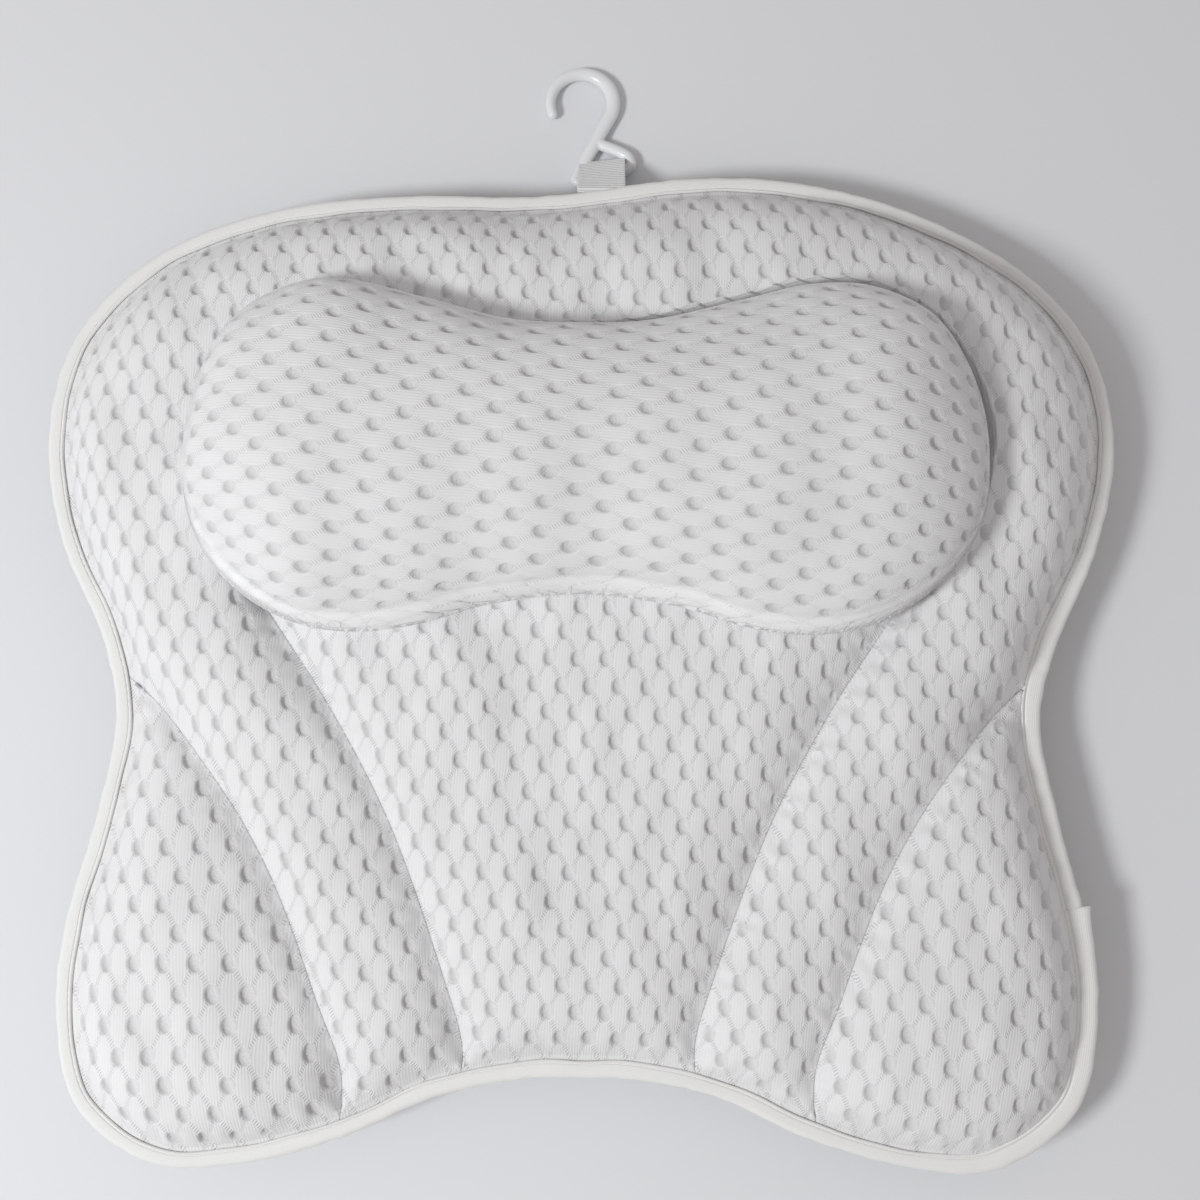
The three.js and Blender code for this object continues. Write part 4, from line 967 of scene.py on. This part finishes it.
def level(y, z):
    """One knot of the ribbon's path for every thread across its width: y and z."""
    return np.stack([y + 0 * ribbon_x, z + 0 * ribbon_x], -1)


def straight(end_y, start_z, end_z, parts):
    """Knots on a straight stretch from the bend at the tape to a place near the fold."""
    return [level(bend_y + (end_y - bend_y) * part, start_z * (1 - part) + end_z * part) for part in parts]


sewn = [(tuck_y, SEWN_Z), (tuck_y + 0.8, SEWN_Z - 0.1), (bend_y, BEND_Z)]
knots = [level(y, z + ply) for y, z in sewn]
knots += straight(fold_y + 0.6, BEND_Z + ply, top_z, (0.35, 0.7, 1))
knots += [level(fold_y + 2.9, BAR_SEAT[2]), level(fold_y + 1.7, low_z + 0.25)]
knots += [level(fold_back + 2.0, low_z + 0.05)]
knots += straight(fold_back - 1.6, BEND_Z - ply, UNDER_Z, (1, 0.7, 0.35))
knots += [level(y, z - ply) for y, z in sewn[::-1]]
knots = np.stack(knots)
path = spline(knots.reshape(len(knots), -1), fine=8).reshape(-1, RIBBON_THREADS, 2)
heading = directions(path)
outward = np.stack([-heading[..., 1], heading[..., 0]], -1)
half_thick = RIBBON_THICK / 2 * (1 - 0.3 * (np.abs(thread_share) > 0.96))[None, :, None]
threads = np.broadcast_to(ribbon_x[None, :, None], (*path.shape[:2], 1))
faces_up, faces_down = (np.concatenate([threads, path + way * outward * half_thick], -1) for way in (1, -1))
ribbon_points = np.concatenate([faces_up, faces_down[:, ::-1]], 1)
lay_x = ribbon_points[..., 0] - RIBBON_X
lay_y = run_length(path[:, RIBBON_THREADS // 2])[:, None] + 0 * lay_x
ribbon = make_mesh("ribbon", ribbon_points, grid_faces(*lay_x.shape, wrap_columns=True),
                   fabric=np.stack([lay_x, lay_y, 0 * lay_x], -1))
tidy_mesh(ribbon, 0.001)
dress(ribbon, "loop", "webbing", "hang_loop")

# %% [markdown]
# ## Finishes
# Formulas in a material are chains of Math nodes. A small class lets them be written as plain sums and
# products. The cloth patterns read the "fabric" attribute, which holds millimetres across and along the
# cloth, so the pattern stays on the cloth where it climbs, turns or stretches.

# %% Node helpers
class Value:
    """A value in a node tree. Every operator on it adds one Math node and gives that node's output."""

    def __init__(self, tree, socket):
        self.tree, self.socket = tree, socket

    def node(self, operation, *values):
        """A Math node on the given values, or on this value alone."""
        made = self.tree.nodes.new("ShaderNodeMath")
        made.operation = operation
        for slot, value in zip(made.inputs, values or (self,)):
            if isinstance(value, Value):
                self.tree.links.new(value.socket, slot)
            else:
                slot.default_value = value
        return Value(self.tree, made.outputs[0])

    def __add__(self, other):
        return self.node("ADD", self, other)

    def __sub__(self, other):
        return self.node("SUBTRACT", self, other)

    def __rsub__(self, other):
        return self.node("SUBTRACT", other, self)

    def __mul__(self, other):
        return self.node("MULTIPLY", self, other)

    def __truediv__(self, other):
        return self.node("DIVIDE", self, other)

    def __abs__(self):
        return self.node("ABSOLUTE")

    __radd__, __rmul__ = __add__, __mul__


def clamped(value):
    """The same value, kept between 0 and 1 by its own node."""
    value.socket.node.use_clamp = True
    return value


# %% [markdown]
# Patterns that several materials share are node groups. A group gives a height in millimetres and a
# shade, and leaves the shader to the material.

# %% Group helpers
def noise(tree, vector, scale, detail=2.0):
    """Grey noise of a given scale on a vector."""
    made = tree.nodes.new("ShaderNodeTexNoise")
    made.inputs["Scale"].default_value = scale
    made.inputs["Detail"].default_value = detail
    tree.links.new(vector, made.inputs["Vector"])
    return Value(tree, made.outputs["Fac"])


def pattern_group(name, settings):
    """A node group that turns fabric coordinates and some settings into a height in mm and a shade. It
    gives the tree, the fabric input, the other inputs by name and the fabric's three parts."""
    tree = bpy.data.node_groups.new(name, "ShaderNodeTree")
    tree.interface.new_socket("Fabric", in_out="INPUT", socket_type="NodeSocketVector")
    for label, value in settings.items():
        tree.interface.new_socket(label, in_out="INPUT", socket_type="NodeSocketFloat").default_value = value
    for label in ("Height", "Shade"):
        tree.interface.new_socket(label, in_out="OUTPUT", socket_type="NodeSocketFloat")
    given = tree.nodes.new("NodeGroupInput").outputs
    split = tree.nodes.new("ShaderNodeSeparateXYZ")
    tree.links.new(given["Fabric"], split.inputs[0])
    values = {label: Value(tree, given[label]) for label in settings}
    parts = [Value(tree, part) for part in split.outputs]
    return tree, given["Fabric"], values, parts


def close_group(tree, height, shade):
    """Links the group's two results to its outputs."""
    put = tree.nodes.new("NodeGroupOutput").inputs
    tree.links.new(height.socket, put["Height"])
    tree.links.new(shade.socket, put["Shade"])
    print(tree.name, "has", len(tree.nodes), "nodes")


# %% [markdown]
# ### Knit of the air mesh
# Positions are counted in cells. s and t are whole numbers on the two sets of diagonals, and a hole
# sits where both are whole. Inside a hole the open inner layer shows, rougher, and greyer from its
# own tone and from painted shade.

# %% Air mesh cells
TURN = 2 * math.pi
SIDE = math.hypot(ACROSS, ALONG)
LINE_GAP = 2 * ACROSS * ALONG / SIDE
knit, fabric_in, given, (cloth_x, cloth_y, open_share) = pattern_group("air mesh knit", {
    "Rib depth": 0.1, "Ladder depth": 0.2, "Ladder shade": 0.08, "Second ladder": 0.0, "Painted rim highlight": 0.0,
    "Lean across": 0.6, "Lean along": 0.3})
u, v = cloth_x / ACROSS, cloth_y / ALONG
s, t = (u + v) * 0.5, (u - v) * 0.5
off_s, off_t = s - s.node("ROUND"), t - t.node("ROUND")
hole_x = (off_s + off_t) * (ACROSS / HOLE_ACROSS)
hole_y = (off_s - off_t) * (ALONG / HOLE_ALONG)
hole_r = (hole_x * hole_x + hole_y * hole_y).node("SQRT")
has_holes = clamped(open_share * 2)
in_hole = clamped((1 - hole_r) * 6) * has_holes
solid = 1 - in_hole
print("lines of holes lie", round(LINE_GAP, 2), "mm apart")

# %% [markdown]
# Between the holes run fine ribs, about ten to a cell, that splay out from the middle of each cell.
# Along the diagonals from hole to hole the knit is tied by short cross stitches, which read as dotted
# lines: strong ones along one set of diagonals, and weaker ones along the other.

# %% Air mesh ribs and ties
RIB_PITCH, TICK_PITCH, FAN = 1.15, 1.0, 0.006
BAND_S, BAND_T, BAND_FADE_S, BAND_FADE_T, LEAN_S, LEAN_T = 0.65, 0.12, 0.4, 0.3, 0.39, 0.3
cell_s, cell_t = s.node("FRACT") - 0.5, t.node("FRACT") - 0.5
cell_x, cell_y = (cell_s + cell_t) * ACROSS, (cell_s - cell_t) * ALONG
fan = cell_x * (cell_y * cell_y * FAN + 1) + (noise(knit, fabric_in, 0.8) - 0.5) * 0.12
rib = (fan * (TURN / RIB_PITCH)).node("COSINE")
rib_gain = clamped(abs(cell_x) * 0.16 + abs(cell_y) * 0.1 + 0.15)
gap_s, gap_t, second = off_s * LINE_GAP, off_t * LINE_GAP, given["Second ladder"]
band_s = 1 - clamped((abs(gap_s) - BAND_S) / BAND_FADE_S)
band_t = 1 - clamped((abs(gap_t) - (second * 0.4 + BAND_T)) / BAND_FADE_T)
tick_s = ((t * (SIDE / TICK_PITCH) - gap_s * LEAN_S) * TURN).node("COSINE")
tick_t = ((s * (SIDE / TICK_PITCH) - gap_t * LEAN_T) * TURN).node("COSINE")
rib_part = rib * rib_gain * ((1 - band_s) * (1 - band_t))
beads = tick_t * (second * 0.3 + 0.5) - (0.8 - second * 0.5)
ties = (tick_s - 0.3) * band_s + beads * band_t

# %% [markdown]
# Ribs and ties stand up in the height and stay a little lighter than the furrows, whose darker tone is
# partly the knit's own and partly painted shade. A hole gets a painted shadow on the side that it
# leans to, and painted shade all over besides the inner layer's own grey. Cloth without holes, as at
# the bolster's rim, can get a painted highlight.

# %% Air mesh height and shade
# Every pit gets the inner layer's grey plus painted shade, and its deep side a painted shadow.
PIT_ROUGH, PIT_GREY_AND_SHADE, PIT_SHADOW, MOTTLE, RIB_SHADE = 0.35, 0.09, 0.14, 0.03, 0.04
rough = noise(knit, fabric_in, 1.1, 1.0) - 0.5
leaning = hole_x * given["Lean across"] + hole_y * given["Lean along"]
# Painted shadow: the deep side of each hole, which its rim shades from the lamp.
pit_shadow_side = clamped(0.5 - (leaning * 1.6 + rough * 0.6))
height = (rib_part * given["Rib depth"] + ties * given["Ladder depth"]) * solid + in_hole * rough * PIT_ROUGH
# The furrows between ribs and ties are darker: partly the knit's own tone, partly painted shade.
light = (rib_part * RIB_SHADE + ties * given["Ladder shade"]) * solid
# Darkening: painted shade and the inner layer's grey in the holes, painted shadow on their deep side, and
# random mottle.
pit_shade_and_mottle = in_hole * (pit_shadow_side * PIT_SHADOW + PIT_GREY_AND_SHADE) + (noise(knit, fabric_in, 0.06) - 0.5) * MOTTLE
# Cloth without holes can get a painted highlight.
close_group(knit, height, 1 - pit_shade_and_mottle + light + (1 - has_holes) * given["Painted rim highlight"])

# %% [markdown]
# ### Woven and knitted tapes
# The edge tape and the ribbon are narrow goods: fine cords run along or across them. One group serves
# both, with its own pitch in each.

# %% Tape group
cords, fabric_in, given, (cloth_x, cloth_y, _) = pattern_group(
    "narrow cords", {"Along pitch": 0.6, "Across pitch": 0.8, "Depth": 0.05})
wobble = (noise(cords, fabric_in, 1.6) - 0.5) * 1.2
first = (cloth_x / given["Across pitch"] * TURN + wobble).node("COSINE")
second = (cloth_y / given["Along pitch"] * TURN + wobble).node("COSINE")
both = (first * 0.35 + second) * 0.7
close_group(cords, both * given["Depth"], 1 - (1 - both) * 0.04)


# %% [markdown]
# ### Materials
# A cloth lets a little light through, so its pits are never black. The cups are soft and half clear.

# %% Materials
def new_material(name, **values):
    """A material, its node tree and its shader, with some of the shader's inputs set. Underscores in
    the names stand for spaces."""
    material = bpy.data.materials.new(name)
    material.use_nodes = True
    shader = material.node_tree.nodes["Principled BSDF"]
    for label, value in values.items():
        shader.inputs[label.replace("_", " ")].default_value = value
    return material, material.node_tree, shader


def add_bump(tree, shader, height):
    """Tilts the shader's normal by a height in millimetres."""
    bump = tree.nodes.new("ShaderNodeBump")
    bump.inputs["Distance"].default_value = MM
    tree.links.new(height, bump.inputs["Height"])
    tree.links.new(bump.outputs[0], shader.inputs["Normal"])


def cloth_material(name, colour, group, settings, roughness=0.85, sheen=0.15, glow=0.0):
    """A matte cloth: its colour times the pattern's shade, and a bump from the pattern's height in mm."""
    material, tree, shader = new_material(
        name, Roughness=roughness, Sheen_Weight=sheen, Specular_IOR_Level=0.25, Subsurface_Weight=glow,
        Subsurface_Radius=(1, 0.98, 0.95), Subsurface_Scale=1.6 * MM)
    where = tree.nodes.new("ShaderNodeAttribute")
    where.attribute_name = "fabric"
    pattern = tree.nodes.new("ShaderNodeGroup")
    pattern.node_tree = group
    tree.links.new(where.outputs["Vector"], pattern.inputs["Fabric"])
    for label, value in settings.items():
        pattern.inputs[label].default_value = value
    tint = tree.nodes.new("ShaderNodeVectorMath")
    tint.operation = "SCALE"
    tint.inputs[0].default_value = colour
    tree.links.new(pattern.outputs["Shade"], tint.inputs["Scale"])
    tree.links.new(tint.outputs[0], shader.inputs["Base Color"])
    add_bump(tree, shader, pattern.outputs["Height"])
    return material


def gloss_material(name, colour, roughness, transmission=0.0, ior=1.48):
    """A moulded plastic with a faint, fine unevenness in its gloss."""
    material, tree, shader = new_material(
        name, Base_Color=(*colour, 1), IOR=ior, Transmission_Weight=transmission)
    place = tree.nodes.new("ShaderNodeTexCoord")
    flow = noise(tree, place.outputs["Object"], 260.0, 3.0)
    tree.links.new((flow * 0.08 + (roughness - 0.04)).socket, shader.inputs["Roughness"])
    add_bump(tree, shader, (flow * 0.03).socket)
    return material


mesh_white = cloth_material("white air mesh", (0.785, 0.785, 0.79), knit, {
    "Rib depth": 0.05, "Ladder depth": 0.1, "Ladder shade": 0.15, "Second ladder": 0.8,
    "Lean across": LEAN[0], "Lean along": LEAN[1]}, glow=0.35)
# The bolster's hole-free rim and foot get a painted highlight.
bolster_white = cloth_material("white air mesh of the bolster", (0.785, 0.785, 0.79), knit, {
    "Rib depth": 0.06, "Ladder depth": 0.05, "Ladder shade": 0.13, "Second ladder": 1.0, "Painted rim highlight": 0.18,
    "Lean across": BOLSTER_LEAN[0], "Lean along": BOLSTER_LEAN[1]}, glow=0.35)
tape_white = cloth_material("white knit tape", (0.86, 0.858, 0.845), cords, {
    "Along pitch": 0.7, "Across pitch": 0.9, "Depth": 0.04})
ribbon_white = cloth_material("grey-white ribbon", (0.95, 0.955, 0.97), cords, {
    "Along pitch": 1.7, "Across pitch": 30.0, "Depth": 0.3}, roughness=0.6, sheen=0.4)
back_white = cloth_material("back mesh", (0.74, 0.74, 0.73), knit, {"Rib depth": 0.05, "Ladder depth": 0.08})
hook_white = gloss_material("white hook plastic", (0.82, 0.83, 0.84), 0.22)
cup_clear = gloss_material("soft clear vinyl", (0.86, 0.9, 0.92), 0.12, transmission=0.55, ior=1.5)
finishes = [(mesh_white, mesh_pieces), (bolster_white, [bolster_piece]), (tape_white, [tape]),
            (ribbon_white, [ribbon, *strap_pieces]), (back_white, [back_piece]), (hook_white, [hook_piece]),
            (cup_clear, cup_pieces)]
for material, pieces in finishes:
    for piece in pieces:
        piece.data.materials.append(material)
    print(material.name, "is on", len(pieces), "pieces")

# %% [markdown]
# ## Floor, light and camera
# The pillow lies on a plain pale floor. One soft lamp stands at the left, halfway up, and a weak, even
# sky fills its shadows. The camera looks almost straight down, as in the photo.

# %% Floor, light and camera
FLOOR_HALF, SKY, LAMP_SIZE, LAMP_POWER = 3.0, 0.45, 0.3, 12.0
LAMP_AT, LAMP_AIM = Vector((-0.843, -0.454, 1.141)), Vector((0, 0, 0.03))
PITCH, DISTANCE, HALF_VIEW, ROLL = math.radians(8), 650.0, 239.0, math.radians(0.4)
AIM = np.array([7.0, -9.0, 25.0])
scene = bpy.context.scene
floor_mesh = bpy.data.meshes.new("floor")
corners = np.array([(-1, -1, 0), (1, -1, 0), (1, 1, 0), (-1, 1, 0)]) * FLOOR_HALF
floor_mesh.from_pydata(corners.tolist(), [], [(0, 1, 2, 3)])
floor = bpy.data.objects.new("floor", floor_mesh)
scene.collection.objects.link(floor)
floor.data.materials.append(new_material("pale floor", Base_Color=(0.77, 0.78, 0.80, 1), Roughness=0.9)[0])

scene.view_settings.view_transform = "Standard"
world = bpy.data.worlds.new("studio")
scene.world = world
world.use_nodes = True
world.node_tree.nodes["Background"].inputs["Color"].default_value = (1, 0.965, 0.955, 1)
world.node_tree.nodes["Background"].inputs["Strength"].default_value = SKY

key = bpy.data.lights.new("key", "AREA")
key.shape = "DISK"
key.size = LAMP_SIZE
key.energy = LAMP_POWER
key.color = (0.965, 0.99, 1.0)
key_object = bpy.data.objects.new("key", key)
scene.collection.objects.link(key_object)
key_object.location = LAMP_AT
key_object.rotation_euler = (LAMP_AIM - LAMP_AT).to_track_quat("-Z", "Y").to_euler()

camera = bpy.data.cameras.new("camera")
camera.lens = camera.sensor_width / 2 / (HALF_VIEW / DISTANCE)
camera.clip_start = 0.05
eye = bpy.data.objects.new("camera", camera)
scene.collection.objects.link(eye)
eye_at = (AIM + DISTANCE * np.array([0, -math.sin(PITCH), math.cos(PITCH)])) * MM
eye.matrix_world = (Matrix.Translation(Vector(eye_at)) @ Matrix.Rotation(PITCH, 4, "X")
                    @ Matrix.Rotation(ROLL, 4, "Z"))
scene.camera = eye
print("the camera stands", round(float(np.linalg.norm(eye_at)), 3), "m from the middle")
